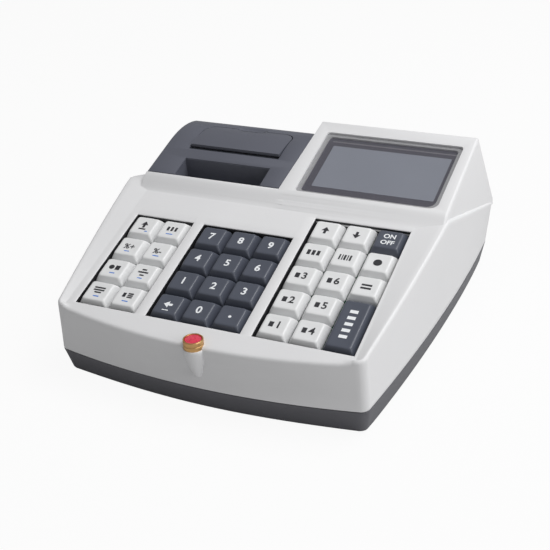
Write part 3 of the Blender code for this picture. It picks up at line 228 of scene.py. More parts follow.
def rubberFinish(name, colour, roughness=0.75):
    finish = Finish(name, colour, roughness)
    dust = finish.noise(3 * mm, 4.0)
    finish.feed("Base Color", finish.blendTo(dust.ramp(0.45, 0.8), colour, shift(colour, 2.2)))
    finish.feed("Roughness", (dust - 0.5) * 0.2 + roughness)
    finish.bump(finish.noise(0.3 * mm, 2.0), 0.02 * mm)
    finish.set("Specular IOR Level", 0.25)
    return finish.material


def boardFinish(name):
    # green solder mask with raised tracks and tinned pads
    green = (0.012, 0.15, 0.07)
    finish = Finish(name, green, 0.35)
    cells = finish.add("ShaderNodeTexVoronoi", {"feature": "F1", "distance": "CHEBYCHEV"}, "Distance",
                       Vector=finish.place, Scale=260.0)
    tracks = finish.add("ShaderNodeTexBrick", {"offset": 0.5}, "Fac", Vector=finish.place, Scale=90.0,
                        Mortar_Size=0.06)
    pads = cells < 0.09
    masked = finish.add("ShaderNodeMixRGB", {}, Fac=tracks, Color1=(*green, 1.0), Color2=(0.03, 0.24, 0.11, 1.0))
    finish.feed("Base Color", finish.add("ShaderNodeMixRGB", {}, Fac=pads, Color1=masked,
                                         Color2=(0.62, 0.60, 0.55, 1.0)))
    finish.feed("Metallic", pads * 0.9)
    finish.feed("Roughness", 0.34 - pads * 0.08)
    finish.bump(tracks + pads, 0.03 * mm)
    finish.set("Coat Weight", 0.3)
    return finish.material


def paperFinish(name):
    white = (0.83, 0.83, 0.81)
    finish = Finish(name, white, 0.85)
    fibre = finish.noise(0.8 * mm, 5.0)
    layers = finish.add("ShaderNodeTexWave", {"wave_type": "RINGS", "rings_direction": "X"}, Vector=finish.place,
                        Scale=60.0, Distortion=1.5)
    finish.feed("Base Color", finish.blendTo(fibre, shift(white, 0.93), shift(white, 1.05)))
    finish.bump(fibre * 0.5 + layers * 0.2, 0.03 * mm)
    finish.set("Specular IOR Level", 0.2)
    return finish.material


def wrapFinish(name):
    # shrink wrap over round cells: soft wrinkles and a glossy skin
    blue = (0.03, 0.09, 0.32)
    finish = Finish(name, blue, 0.3)
    wrinkles = finish.noise(4 * mm, 3.0, (1.0, 0.25, 1.0))
    finish.feed("Base Color", finish.blendTo(wrinkles, shift(blue, 0.8), shift(blue, 1.3)))
    finish.feed("Roughness", (wrinkles - 0.5) * 0.25 + 0.3)
    finish.bump(wrinkles, 0.25 * mm)
    return finish.material


def waxFinish(name):
    red = (0.66, 0.012, 0.05)
    finish = Finish(name, red, 0.28)
    drips = finish.noise(1.6 * mm, 3.0)
    finish.feed("Base Color", finish.blendTo(drips, shift(red, 0.8), (0.78, 0.05, 0.11)))
    finish.feed("Roughness", (drips - 0.5) * 0.3 + 0.3)
    finish.bump(drips, 0.25 * mm)
    finish.set("Coat Weight", 0.5)
    return finish.material


def screenFinish(name, colour, gloss, cell):
    # a display layer with its faint grid of cells
    finish = Finish(name, colour, gloss)
    mesh = finish.add("ShaderNodeTexBrick", {"offset": 0.0}, "Fac", Vector=finish.place, Scale=1.0 / cell,
                      Mortar_Size=0.08)
    clouds = finish.noise(30 * mm, 1.0)
    finish.feed("Base Color", finish.blendTo(clouds * 0.6 + mesh * 0.25, shift(colour, 0.95),
                                             shift(colour, 1.08)))
    finish.feed("Roughness", (clouds - 0.5) * 0.05 + gloss)
    return finish.material


def lensFinish(name):
    finish = Finish(name, (0.06, 0.06, 0.075), 0.16)
    smears = finish.noise(14 * mm, 4.0)
    finish.feed("Roughness", smears.ramp(0.5, 0.8) * 0.06 + 0.15)
    finish.set("Alpha", 0.22)
    finish.set("Specular IOR Level", 0.35)
    return finish.material


lightGrey = (0.70, 0.70, 0.71)
darkGrey = (0.095, 0.1, 0.125)
finishes = {
    "lightShell": mouldedPlastic("lightShell", lightGrey, 0.42),
    "darkShell": mouldedPlastic("darkShell", darkGrey, 0.45, cloud=0.06),
    "darkTray": mouldedPlastic("darkTray", (0.105, 0.105, 0.118), 0.5, cloud=0.06),
    "lightKey": mouldedPlastic("lightKey", (0.71, 0.715, 0.72), 0.38, 0.3 * mm, 0.006 * mm, 0.02),
    "darkKey": mouldedPlastic("darkKey", (0.072, 0.08, 0.105), 0.36, 0.3 * mm, 0.006 * mm, 0.05),
    "darkPrint": mouldedPlastic("darkPrint", (0.025, 0.025, 0.03), 0.45, 0.2 * mm, 0.004 * mm),
    "whitePrint": mouldedPlastic("whitePrint", (0.80, 0.82, 0.84), 0.45, 0.2 * mm, 0.004 * mm),
    "bluePrint": mouldedPlastic("bluePrint", (0.06, 0.20, 0.62), 0.45, 0.2 * mm, 0.004 * mm),
    "blackPlastic": mouldedPlastic("blackPlastic", (0.018, 0.018, 0.02), 0.42),
    "whiteNylon": mouldedPlastic("whiteNylon", (0.74, 0.74, 0.70), 0.4),
    "steel": metalFinish("steel", (0.56, 0.56, 0.57), 0.32),
    "blackSteel": metalFinish("blackSteel", (0.035, 0.037, 0.043), 0.55),
    "brightSteel": metalFinish("brightSteel", (0.68, 0.68, 0.69), 0.2, (12.0, 1.0, 12.0)),
    "brass": metalFinish("brass", (0.66, 0.40, 0.17), 0.34, (9.0, 9.0, 0.6), 0.06 * mm),
    "footRubber": rubberFinish("footRubber", (0.02, 0.02, 0.02)),
    "rollerRubber": rubberFinish("rollerRubber", (0.03, 0.03, 0.03), 0.6),
    "matRubber": rubberFinish("matRubber", (0.20, 0.20, 0.21)),
    "board": boardFinish("board"),
    "paper": paperFinish("paper"),
    "wrap": wrapFinish("wrap"),
    "wax": waxFinish("wax"),
    "screenEdge": screenFinish("screenEdge", (0.16, 0.155, 0.185), 0.3, 1.0 * mm),
    "screenField": screenFinish("screenField", (0.47, 0.50, 0.575), 0.35, 0.6 * mm),
    "screenLine": screenFinish("screenLine", (0.34, 0.33, 0.36), 0.35, 0.6 * mm),
    "lens": lensFinish("lens"),
}
print("finishes made:", len(finishes))


# modelling tools

def fromWork(name, work, *looks):
    # a bmesh becomes an object of the scene, with its finishes
    bmesh.ops.recalc_face_normals(work, faces=work.faces)
    work.normal_update()
    middle = sum((vert.co for vert in work.verts), Vector()) / len(work.verts)
    outward = sum(face.calc_area() * face.normal.dot(face.calc_center_median() - middle) for face in work.faces)
    if outward < 0:  # an open shell may have come out inside out
        bmesh.ops.reverse_faces(work, faces=work.faces)
    mesh = bpy.data.meshes.new(name)
    work.to_mesh(mesh)
    work.free()
    made = bpy.data.objects.new(name, mesh)
    scene.collection.objects.link(made)
    for look in looks:
        mesh.materials.append(finishes[look])
    return made


def settled(thing):
    # the object with its modifiers applied, as a plain mesh under the same name
    bpy.context.view_layer.update()
    graph = bpy.context.evaluated_depsgraph_get()
    mesh = bpy.data.meshes.new_from_object(thing.evaluated_get(graph))
    mesh.transform(thing.matrix_world)
    old = thing.data
    thing.modifiers.clear()
    thing.matrix_world = Matrix.Identity(4)
    if thing.type == "MESH":
        thing.data = mesh
        return thing
    name = thing.name
    bpy.data.objects.remove(thing, do_unlink=True)
    made = bpy.data.objects.new(name, mesh)
    scene.collection.objects.link(made)
    return made


def thickened(thing, wall):
    # an open skin becomes a wall that grows inwards
    thicken = thing.modifiers.new("wall", "SOLIDIFY")
    thicken.thickness = wall
    thicken.offset = -1
    return settled(thing)


def joinRings(work, rings):
    # faces between each ring of vertices and the next, and one over the last
    for upper, lower in zip(rings, rings[1:]):
        for index in range(len(lower)):
            after = (index + 1) % len(lower)
            work.faces.new((upper[index], upper[after], lower[after], lower[index]))
    work.faces.new(rings[-1])


def smoothed(thing, angle=35):
    thing.data.shade_smooth()
    thing.data.set_sharp_from_angle(angle=math.radians(angle))
    return thing


def prism(name, outline, low, high, axis, *looks):
    # a flat outline carried along one axis; x leads for Y and Z, y leads for X
    spots = {"X": lambda a, b, c: (c, a, b), "Y": lambda a, b, c: (a, c, b), "Z": lambda a, b, c: (a, b, c)}
    work = bmesh.new()
    ends = [[work.verts.new(spots[axis](a, b, level)) for a, b in outline] for level in (low, high)]
    work.faces.new(ends[0])
    work.faces.new(list(reversed(ends[1])))
    for index in range(len(outline)):
        after = (index + 1) % len(outline)
        work.faces.new((ends[0][index], ends[0][after], ends[1][after], ends[1][index]))
    return fromWork(name, work, *looks)


def lathe(name, profile, place, sides, *looks, axis="Z"):
    # a turned piece from (radius, height) points
    work = bmesh.new()
    spots = [work.verts.new((radius, 0, height)) for radius, height in profile]
    edges = [work.edges.new(pair) for pair in zip(spots, spots[1:])]
    bmesh.ops.spin(work, geom=spots + edges, cent=(0, 0, 0), axis=(0, 0, 1), angle=math.tau, steps=sides,
                   use_merge=True)
    bmesh.ops.remove_doubles(work, verts=work.verts, dist=0.001 * mm)
    turns = {"Z": Matrix.Identity(4), "X": Matrix.Rotation(math.pi / 2, 4, "Y"),
             "Y": Matrix.Rotation(-math.pi / 2, 4, "X")}
    work.transform(Matrix.Translation(place) @ turns[axis])
    return smoothed(fromWork(name, work, *looks), 40)


def roundedOutline(left, right, front, rear, radii, steps=6):
    # a rectangle with a radius for each corner: front left, front right, rear right, rear left
    outline = []
    corners = ((left, front, 1.0), (right, front, 1.5), (right, rear, 0.0), (left, rear, 0.5))
    for (x, y, start), radius in zip(corners, radii):
        centreX = x + radius if x == left else x - radius
        centreY = y + radius if y == front else y - radius
        for step in range(steps + 1):
            angle = math.pi * (start + 0.5 * step / steps)
            outline.append((centreX + radius * math.cos(angle), centreY + radius * math.sin(angle)))
    return outline


def carve(target, operation, *others):
    for other in others:
        cut = target.modifiers.new("cut", "BOOLEAN")
        cut.operation = operation
        cut.object = other
        cut.solver = "EXACT"
    settled(target)
    for other in others:
        bpy.data.objects.remove(other, do_unlink=True)
    return target


def eased(target, width, segments=3, angle=35):
    # rounded edges wherever two faces meet at more than the angle
    target.data.shade_smooth()
    ease = target.modifiers.new("ease", "BEVEL")
    ease.width = width
    ease.segments = segments
    ease.limit_method = "ANGLE"
    ease.angle_limit = math.radians(angle)
    return settled(target)


def joinedPieces(name, *pieces):
    # several meshes as one object, each keeping its finishes
    work = bmesh.new()
    looks = []
    for piece in pieces:
        start = len(looks)
        looks.extend(piece.data.materials)
        before = len(work.faces)
        work.from_mesh(piece.data)
        work.faces.ensure_lookup_table()
        for face in work.faces[before:]:
            face.material_index += start
        bpy.data.objects.remove(piece, do_unlink=True)
    mesh = bpy.data.meshes.new(name)
    work.to_mesh(mesh)
    work.free()
    for look in looks:
        mesh.materials.append(look)
    made = bpy.data.objects.new(name, mesh)
    scene.collection.objects.link(made)
    return made


def install(piece, body, slotName, *replaced):
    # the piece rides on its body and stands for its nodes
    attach(piece, body)
    if replaced:
        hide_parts(*replaced)
    return piece


# upper housing: walls, shoulders and the key panel with its wells

housing = {
    "frontHalf": 94.5 * mm, "wideHalf": 103.5 * mm, "rearHalf": 101 * mm,
    "ridgeFrontHalf": 92 * mm, "ridgeWideHalf": 106.2 * mm, "ridgeRearHalf": 111.6 * mm,
    "widestShare": 0.7, "frontBow": 10 * mm, "rearBow": 3 * mm,
    "frontCorner": 6 * mm, "rearCorner": 16 * mm,
    "ridgeLevel": 77.5 * mm, "shoulderRear": 40 * mm, "rimRise": 1.5 * mm, "rimStart": 3 * mm, "rimRun": 4 * mm,
    "innerHalf": 87.5 * mm, "ridgeRound": 1.6 * mm, "crestSoft": 1.5 * mm, "wellRound": 0.5 * mm,
    "wellDepth": 8 * mm, "wellMargin": 0.45 * mm, "socketMargin": 0.3 * mm, "socketReach": 20 * mm,
    "coveDepth": 2.8 * mm, "coveLow": 15.5 * mm, "coveHigh": 40.5 * mm, "coveEnd": 22 * mm, "coveFade": 10 * mm,
    "wall": 1.8 * mm, "wallSteps": 22, "lowRound": 0.5 * mm, "bend": 112 * mm, "partingLift": 1.3 * mm,
    "gridFront": 2.6 * mm, "gridRear": 16 * mm, "gridCorner": 1.6 * mm, "gridSpacing": 6 * mm,
}
partingLow = shellLow.z + housing["partingLift"]
rimPlane = housing["rimRise"] / math.cos(slope)
yRidge = yKeys + (housing["ridgeLevel"] - zKeys - rimPlane) / slopeRise
shoulderFall = (housing["ridgeLevel"] - housing["shoulderRear"]) / (yRear - yRidge)
cornerColumns = 4
cornerArc = 45.0


def topHeight(y, rise):
    # the key plane up to the ridge, then the falling shoulders, with a short soft crest
    climb = planeHeight(y, rise)
    fall = housing["ridgeLevel"] - shoulderFall * (y - yRidge)
    reach = housing["crestSoft"]
    blend = min(max(0.5 + 0.5 * (fall - climb) / reach, 0.0), 1.0)
    return fall + (climb - fall) * blend - reach * blend * (1 - blend)


def gridLines(edges, low, high, spacing):
    # lines at the given edges, with close ones outside them for their rounding, and even ones between
    lines = {low, high}
    corner = housing["gridCorner"]
    for step in range(1, cornerColumns + 1):
        lines.add(low + corner * step / cornerColumns)
        lines.add(high - corner * step / cornerColumns)
    for edge in edges:
        lines.add(edge)
        for sign in (-1, 1):
            for share in (0.35, 1.0):
                lines.add(edge + sign * share * housing["wellRound"])
    marks = sorted(lines)
    for first, second in zip(marks, marks[1:]):
        count = int((second - first) / spacing)
        for step in range(1, count + 1):
            lines.add(first + (second - first) * step / (count + 1))
    return sorted(lines)


def bodyGrid(columnEdges, rowEdges, spacing):
    # the grid over the body's top: its columns, rows and border nodes, counter-clockwise from the front left
    columns = gridLines(columnEdges, -housing["innerHalf"], housing["innerHalf"], spacing)
    rows = gridLines(rowEdges, yKeys - housing["gridFront"], yRear - housing["gridRear"], spacing)
    last, final = len(columns) - 1, len(rows) - 1
    border = ([(i, 0) for i in range(last)] + [(last, j) for j in range(final)]
              + [(i, final) for i in range(last, 0, -1)] + [(0, j) for j in range(final, 0, -1)])
    return columns, rows, border


def wellEdges(firstKey, lastKey):
    # left, right, front and rear edges of the well that holds these two corner keys
    first = Vector(keyJoints[firstKey]["pos_m"])
    last = Vector(keyJoints[lastKey]["pos_m"])
    half = pitch / 2 + housing["wellMargin"]
    run = half * math.cos(slope)
    return first.x - half, last.x + half, first.y - run, last.y + run


wells = [wellEdges("key_function", "key_mode"), wellEdges("key_clear", "key_9"),
         wellEdges("key_d1", "key_power")]
coverLow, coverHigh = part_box("printer_cover")
moduleLow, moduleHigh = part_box("display_module")
bay = {"half": 86 * mm, "coverRight": -5.5 * mm, "coverGap": 3 * mm, "moduleGap": 4 * mm, "rear": 90 * mm}
bays = [(-bay["half"], bay["coverRight"], coverLow.y + bay["coverGap"], bay["rear"]),
        (moduleLow.x - bay["moduleGap"], bay["half"], moduleLow.y, bay["rear"])]


def outlineAt(columns, rows, i, j, halves):
    # where the outline passes the grid's border node (i, j)
    frontHalf, wideHalf, rearHalf = halves
    last, final = len(columns) - 1, len(rows) - 1
    side = 1 if columns[i] > 0 else -1
    fromEnd = min(i, last - i)
    flatHalf = frontHalf - housing["frontCorner"]
    cornerY = yFront + housing["frontBow"] * (flatHalf / frontHalf) ** 2 + housing["frontCorner"]
    rearY = yRear - housing["rearCorner"] - housing["rearBow"]
    yWide = cornerY + (yRear - cornerY) * housing["widestShare"]

    def sideHalf(y):
        if y < yWide:
            return wideHalf - (wideHalf - frontHalf) * ((yWide - y) / (yWide - cornerY)) ** 2
        return wideHalf - (wideHalf - rearHalf) * ((y - yWide) / (yRear - yWide)) ** 2

    rearCentre = sideHalf(rearY) - housing["rearCorner"]
    if j == 0 and fromEnd >= cornerColumns:
        x = flatHalf * columns[i] / columns[last - cornerColumns]
        return x, yFront + housing["frontBow"] * (x / frontHalf) ** 2
    if j == final and fromEnd >= cornerColumns:
        x = rearCentre * columns[i] / columns[last - cornerColumns]
        return x, yRear - housing["rearBow"] * (x / rearCentre) ** 2
    if j <= cornerColumns:
        start = -90 + math.degrees(math.atan(2 * housing["frontBow"] * flatHalf / frontHalf ** 2))
        if j == 0:
            angle = start + (start / 2 - start) * (cornerColumns - fromEnd) / cornerColumns
        else:
            angle = start / 2 * (1 - j / cornerColumns)
        angle = math.radians(angle)
        x = flatHalf + housing["frontCorner"] * math.cos(angle)
        return side * x, cornerY + housing["frontCorner"] * math.sin(angle)
    if j >= final - cornerColumns:
        if j == final:
            angle = 90 - cornerArc * (cornerColumns - fromEnd) / cornerColumns
        else:
            angle = cornerArc * (j - final + cornerColumns) / cornerColumns
        angle = math.radians(angle)
        x = rearCentre + housing["rearCorner"] * math.cos(angle)
        return side * x, rearY + housing["rearCorner"] * math.sin(angle)
    share = (rows[j] - rows[cornerColumns]) / (rows[final - cornerColumns] - rows[cornerColumns])
    y = cornerY + (rearY - cornerY) * share
    return side * sideHalf(y), y


def wallPoint(columns, rows, i, j, z):
    # the outer wall at the height z: the body flares from the parting line to the ridge
    low = outlineAt(columns, rows, i, j, (housing["frontHalf"], housing["wideHalf"], housing["rearHalf"]))
    high = outlineAt(columns, rows, i, j, (housing["ridgeFrontHalf"], housing["ridgeWideHalf"],
                                           housing["ridgeRearHalf"]))
    share = (z - partingLow) / (housing["ridgeLevel"] - partingLow)
    return low[0] + (high[0] - low[0]) * share, low[1] + (high[1] - low[1]) * share


def coveInset(x, z):
    # the shallow hollow across the front, which fades out at the corners
    across = 1 - (abs(x) / housing["frontHalf"]) ** 2.2
    along = (z - housing["coveLow"]) / (housing["coveHigh"] - housing["coveLow"])
    if across <= 0 or along <= 0 or along >= 1:
        return 0.0
    return housing["coveDepth"] * across * math.sin(math.pi * along ** 0.85) ** 1.2


def makeHousing():
    gaps = wells + bays
    columns, rows, border = bodyGrid([edge for gap in gaps for edge in gap[:2]],
                                     [edge for gap in gaps for edge in gap[2:]], housing["gridSpacing"])
    def edgeDrop(x, y):
        # how far the rounding of the nearest well edge lowers this point
        radius = housing["wellRound"]
        nearest = radius
        for left, right, front, rear in wells:
            nearest = min(nearest, math.hypot(max(left - x, 0, x - right), max(front - y, 0, y - rear)))
        return radius - math.sqrt(max(radius ** 2 - (radius - nearest) ** 2, 0))

    work = bmesh.new()
    grid = [[work.verts.new((x, y, topHeight(y, 0) - edgeDrop(x, y))) for y in rows] for x in columns]
    for i in range(len(columns) - 1):
        for j in range(len(rows) - 1):
            middleX = (columns[i] + columns[i + 1]) / 2
            middleY = (rows[j] + rows[j + 1]) / 2
            if not any(left < middleX < right and front < middleY < rear for left, right, front, rear in gaps):
                work.faces.new((grid[i][j], grid[i + 1][j], grid[i + 1][j + 1], grid[i][j + 1]))
    rims = [edge for edge in work.edges if edge.is_boundary]
    outer = {grid[i][j] for i, j in border}
    wellRims = [edge for edge in rims if not (edge.verts[0] in outer and edge.verts[1] in outer)]
    walls = bmesh.ops.extrude_edge_only(work, edges=wellRims)["geom"]
    # the well walls take black plastic: painted shade, dark like the deep shadowed gaps around the keys
    for item in walls:
        if isinstance(item, bmesh.types.BMFace):
            item.material_index = 1
    down = pressAxis * housing["wellDepth"]
    bmesh.ops.translate(work, verts=[item for item in walls if isinstance(item, bmesh.types.BMVert)], vec=down)

    ridges = []
    for i, j in border:
        y = rows[j]
        z = topHeight(y, housing["rimRise"])
        for _ in range(3):
            x, y = wallPoint(columns, rows, i, j, z)
            beyond = abs(x) - housing["innerHalf"] + housing["rimStart"]
            lift = housing["rimRise"] * soften(beyond / housing["rimRun"])
            z = topHeight(y, lift)
        ridges.append((Vector((x, y, z)), lift))
    loop = [grid[i][j] for i, j in border]

    def addRing(points):
        nonlocal loop
        ring = [work.verts.new(point) for point in points]
        for index in range(len(ring)):
            after = (index + 1) % len(ring)
            work.faces.new((loop[index], ring[index], ring[after], loop[after]))
        loop = ring

    inward = []
    for (i, j), (ridge, _) in zip(border, ridges):
        away = Vector((columns[i] - ridge.x, rows[j] - ridge.y, 0))
        inward.append(away.normalized())
    radius = housing["ridgeRound"]
    for share in (0.06, 0.2, 0.4, 0.6, 0.8):
        points = []
        for (i, j), (ridge, lift), away in zip(border, ridges, inward):
            edge = ridge + away * radius
            x = columns[i] + (edge.x - columns[i]) * share
            y = rows[j] + (edge.y - rows[j]) * share
            points.append((x, y, topHeight(y, lift * share)))
        addRing(points)
    for angle in (0, 22.5, 45, 67.5, 90):
        turn = math.radians(angle)
        points = []
        for (ridge, lift), away in zip(ridges, inward):
            spot = ridge + away * radius * (1 - math.sin(turn))
            spot.z = topHeight(spot.y, lift) - radius * (1 - math.cos(turn))
            points.append(spot)
        addRing(points)
    edge = housing["lowRound"]
    for step in range(1, housing["wallSteps"] + 1):
        points = []
        for (i, j), (ridge, _) in zip(border, ridges):
            top = ridge.z - radius
            z = top + (partingLow + edge - top) * step / housing["wallSteps"]
            x, y = wallPoint(columns, rows, i, j, z)
            if y < 0:
                y += coveInset(x, z) * soften((yFront + housing["coveEnd"] - y) / housing["coveFade"])
            points.append((x, y, z))
        addRing(points)
    for angle in (45, 90):
        turn = math.radians(angle)
        points = []
        for (i, j), away in zip(border, inward):
            x, y = wallPoint(columns, rows, i, j, partingLow)
            inset = edge * (1 - math.cos(turn))
            points.append((x + away.x * inset, y + away.y * inset, partingLow + edge * (1 - math.sin(turn))))
        addRing(points)
    shell = thickened(fromWork("housingShell", work, "lightShell", "blackPlastic"), housing["wall"])
    low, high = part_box("rear_sockets")
    edge = housing["socketMargin"]
    hole = prism("socketHole", [(low.x - edge, low.z - edge), (high.x + edge, low.z - edge),
                                (high.x + edge, high.z + edge), (low.x - edge, high.z + edge)],
                 yRear - housing["socketReach"], yRear + housing["socketReach"], "Y")
    carve(shell, "DIFFERENCE", hole, rearSlots())
    return smoothed(shell, 50)


def rearSlots():
    # the vent's row of slots, as a cutter through the rear wall
    slots = grownPiece("rearSlots", ribTree("blackPlastic"), ribs["rear"])
    width = ribs["rear"]["Spacing"] * (ribs["rear"]["Count"] - 1)
    turn = Matrix.Rotation(math.pi, 4, "Z") @ Matrix.Rotation(math.pi / 2, 4, "X")
    place = Matrix.Translation((width / 2, yRear - ribPlace["rearIn"], partingLow + ribPlace["rearLift"]))
    slots.data.transform(place @ turn)
    work = bmesh.new()
    work.from_mesh(slots.data)
    bmesh.ops.remove_doubles(work, verts=work.verts, dist=0.001 * mm)
    bmesh.ops.recalc_face_normals(work, faces=work.faces)
    work.to_mesh(slots.data)
    work.free()
    return slots


# raised pod with its ramp, and the sill in front of the printer

pod = {
    "offset": 4.2 * mm, "left": -2.2 * mm, "leftRear": 0.8 * mm, "right": 102.2 * mm, "lean": math.radians(2.8),
    "topRun": 188 * mm, "rearRun": 221 * mm, "rearHeight": 48 * mm, "rampRun": 8.5 * mm, "rampSoft": 4 * mm,
    "crest": 1.9 * mm, "crestSteps": 6, "sideRound": 1.8 * mm, "frontMargin": 0.3 * mm, "sink": 6 * mm,
    "rampSteps": 16, "rampLead": 1 * mm, "rampDeep": 3 * mm, "rampSunk": 0.12 * mm, "rampEase": 1.15,
    "sillTrim": 0.4 * mm, "sillDeep": 9 * mm, "sillGap": 0.2 * mm, "sillLap": 6 * mm,
}
windowSet = {
    "left": 8 * mm, "width": 88 * mm, "front": 112 * mm, "depth": 58.5 * mm, "pocket": 1.5 * mm,
    "frontRadius": 5.5 * mm, "rearRadius": 2.2 * mm, "round": 0.45 * mm, "sunk": 0.5 * mm, "ledge": 2.5 * mm,
    "through": 12 * mm, "above": 9 * mm,
}


def bevelled(thing, chosen, width, segments, clamped=False):
    # rounds only the edges that chosen says
    work = bmesh.new()
    work.from_mesh(thing.data)
    bmesh.ops.bevel(work, geom=[edge for edge in work.edges if chosen(edge)], offset=width, segments=segments,
                    profile=0.5, affect="EDGES", clamp_overlap=clamped)
    work.to_mesh(thing.data)
    work.free()


def aboveRear(edge):
    return min(vert.co.z for vert in edge.verts) > pod["rearHeight"] - 1 * mm


def rampProfile():
    # soft ramp from the key plane up to the pod's face
    start = yFront + housing["bend"] - pod["rampSoft"]
    run = pod["rampSoft"] + pod["rampRun"]
    lead, sunk = start - pod["rampLead"], pod["rampSunk"]
    points = [(lead, planeHeight(lead, -pod["rampDeep"]))]
    for step in range(pod["rampSteps"] + 1):
        share = step / pod["rampSteps"]
        y = start + run * share
        lift = (pod["offset"] + sunk) * soften(share ** pod["rampEase"])
        points.append((y, planeHeight(y, lift - sunk)))
    return points


def podProfile():
    points = rampProfile()
    yTop = yFront + pod["topRun"]
    zTop = planeHeight(yTop, pod["offset"])
    back = Vector((yFront + pod["rearRun"] - yTop, pod["rearHeight"] - zTop)).normalized()
    ahead = Vector((-math.cos(slope), -math.sin(slope)))
    crest = Vector((yTop, zTop))
    first, second = crest + ahead * pod["crest"], crest + back * pod["crest"]
    for step in range(pod["crestSteps"] + 1):
        share = step / pod["crestSteps"]
        spot = first * (1 - share) ** 2 + crest * 2 * share * (1 - share) + second * share ** 2
        points.append((spot.x, spot.y))
    yLast = yFront + pod["rearRun"]
    points += [(yLast, pod["rearHeight"]), (yLast, pod["rearHeight"] - pod["sink"])]
    return points


def makePod():
    profile = podProfile()
    zTop = max(z for _, z in profile)
    body = prism("displayPod", profile, pod["left"], pod["right"], "X", "lightShell")
    yTop = yFront + pod["topRun"]
    for vert in body.data.vertices:
        if vert.co.x > 0:
            vert.co.x += (zTop - vert.co.z) * math.tan(pod["lean"])
        else:
            share = (vert.co.y - yFront - housing["bend"]) / (yTop - yFront - housing["bend"])
            vert.co.x += (pod["leftRear"] - pod["left"]) * min(max(share, 0), 1)
    bevelled(body, lambda edge: (all(vert.co.x > pod["right"] / 2 for vert in edge.verts)
                                 and edge.calc_face_angle(0) > math.radians(50) and aboveRear(edge)),
             pod["sideRound"], 5, True)
    ySill = coverLow.y - pod["frontMargin"]
    sillProfile = [point for point in rampProfile() if point[0] < ySill - pod["sillTrim"]]
    sillProfile += [(ySill, planeHeight(ySill, pod["offset"])), (ySill, planeHeight(ySill, -pod["sillDeep"]))]
    sill = prism("printerSill", sillProfile, coverLow.x + pod["sillGap"], pod["left"] + pod["sillLap"], "X",
                 "lightShell")
    carve(body, "UNION", sill)
    face, above = pod["offset"], pod["offset"] + windowSet["above"]
    pocket = prism("pocket", windowOutline(0), face - windowSet["pocket"], above, "Z")
    pocket.data.transform(panelFrame)
    opening = prism("opening", windowOutline(windowSet["ledge"]), face - windowSet["through"], above, "Z")
    opening.data.transform(panelFrame)
    carve(body, "DIFFERENCE", pocket, opening)
    eased(body, windowSet["round"], 3, 50)
    smoothed(body, 60)
    return body


def windowOutline(inset):
    left = windowSet["left"] + inset
    right = windowSet["left"] + windowSet["width"] - inset
    front = windowSet["front"] + inset
    rear = windowSet["front"] + windowSet["depth"] - inset
    near, far = windowSet["frontRadius"], windowSet["rearRadius"]
    return roundedOutline(left, right, front, rear, (near * 0.5, near, far, far))


# seal point: half-cone boss, brass cup and wax

seal = {
    "height": 18.5 * mm, "tip": 2.2 * mm, "boss": 6.2 * mm, "lip": 0.3 * mm, "steps": 12, "belly": 1.6,
    "sides": 64, "wall": 0.9 * mm, "lean": 0.075, "edge": 0.2 * mm, "groove": 0.25 * mm, "waxGap": 0.05 * mm,
}


def makeSeal():
    cupLow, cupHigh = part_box("seal_cup")
    waxLow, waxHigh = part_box("seal_wax")
    centre = (cupLow + cupHigh) / 2
    top = cupLow.z + 0.2 * mm
    radius = (cupHigh.x - cupLow.x) / 2
    wide, tip, lip = seal["boss"], seal["tip"], seal["lip"]
    profile = [(0, 0), (wide * 0.97, 0), (wide, -lip)]
    for step in range(1, seal["steps"] + 1):
        share = step / seal["steps"]
        profile.append((wide + (tip - wide) * share ** seal["belly"], -lip - seal["height"] * share))
    profile.append((0, -seal["height"] - 0.8 * mm))
    boss = lathe("sealBoss", profile, (centre.x, centre.y, top), seal["sides"], "lightShell")
    # the cone leans back with its tip against the wall
    for vert in boss.data.vertices:
        vert.co.y += (top - vert.co.z) * seal["lean"]
    install(boss, "register", "light_shell")
    tall = cupHigh.z - cupLow.z
    inside, edge, groove = radius - seal["wall"], seal["edge"], seal["groove"]
    profile = [(0, 0), (radius - edge, 0), (radius, edge), (radius, tall * 0.42), (radius - groove, tall * 0.47),
               (radius - groove, tall * 0.55), (radius, tall * 0.6), (radius, tall - lip), (radius - lip, tall),
               (inside + edge, tall), (inside, tall - lip), (inside, seal["wall"]), (0, seal["wall"])]
    cup = lathe("sealCup", profile, (centre.x, centre.y, cupLow.z), seal["sides"], "brass")
    install(cup, "register", "brass", "seal_cup")
    inside -= seal["waxGap"]
    depth = waxHigh.z - waxLow.z
    profile = [(0, 0), (inside, 0), (inside, depth - 0.7 * mm), (inside * 0.93, depth - 0.35 * mm),
               (inside * 0.78, depth - 0.45 * mm), (inside * 0.6, depth - 0.2 * mm), (inside * 0.3, depth - 0.08 * mm),
               (0, depth)]
    wax = lathe("sealWax", profile, (centre.x, centre.y, waxLow.z), seal["sides"], "wax")
    install(wax, "register", "red_wax", "seal_wax")


# base tray and feet

tray = {
    "frontInset": 5 * mm, "sideInset": 3.2 * mm, "lowRound": 1.4 * mm, "wall": 2.2 * mm, "topRound": 0.4 * mm,
    "bottom": 0.5 * mm, "seam": 0.3 * mm, "fade": 26 * mm, "steps": 6, "gridSpacing": 8 * mm,
}


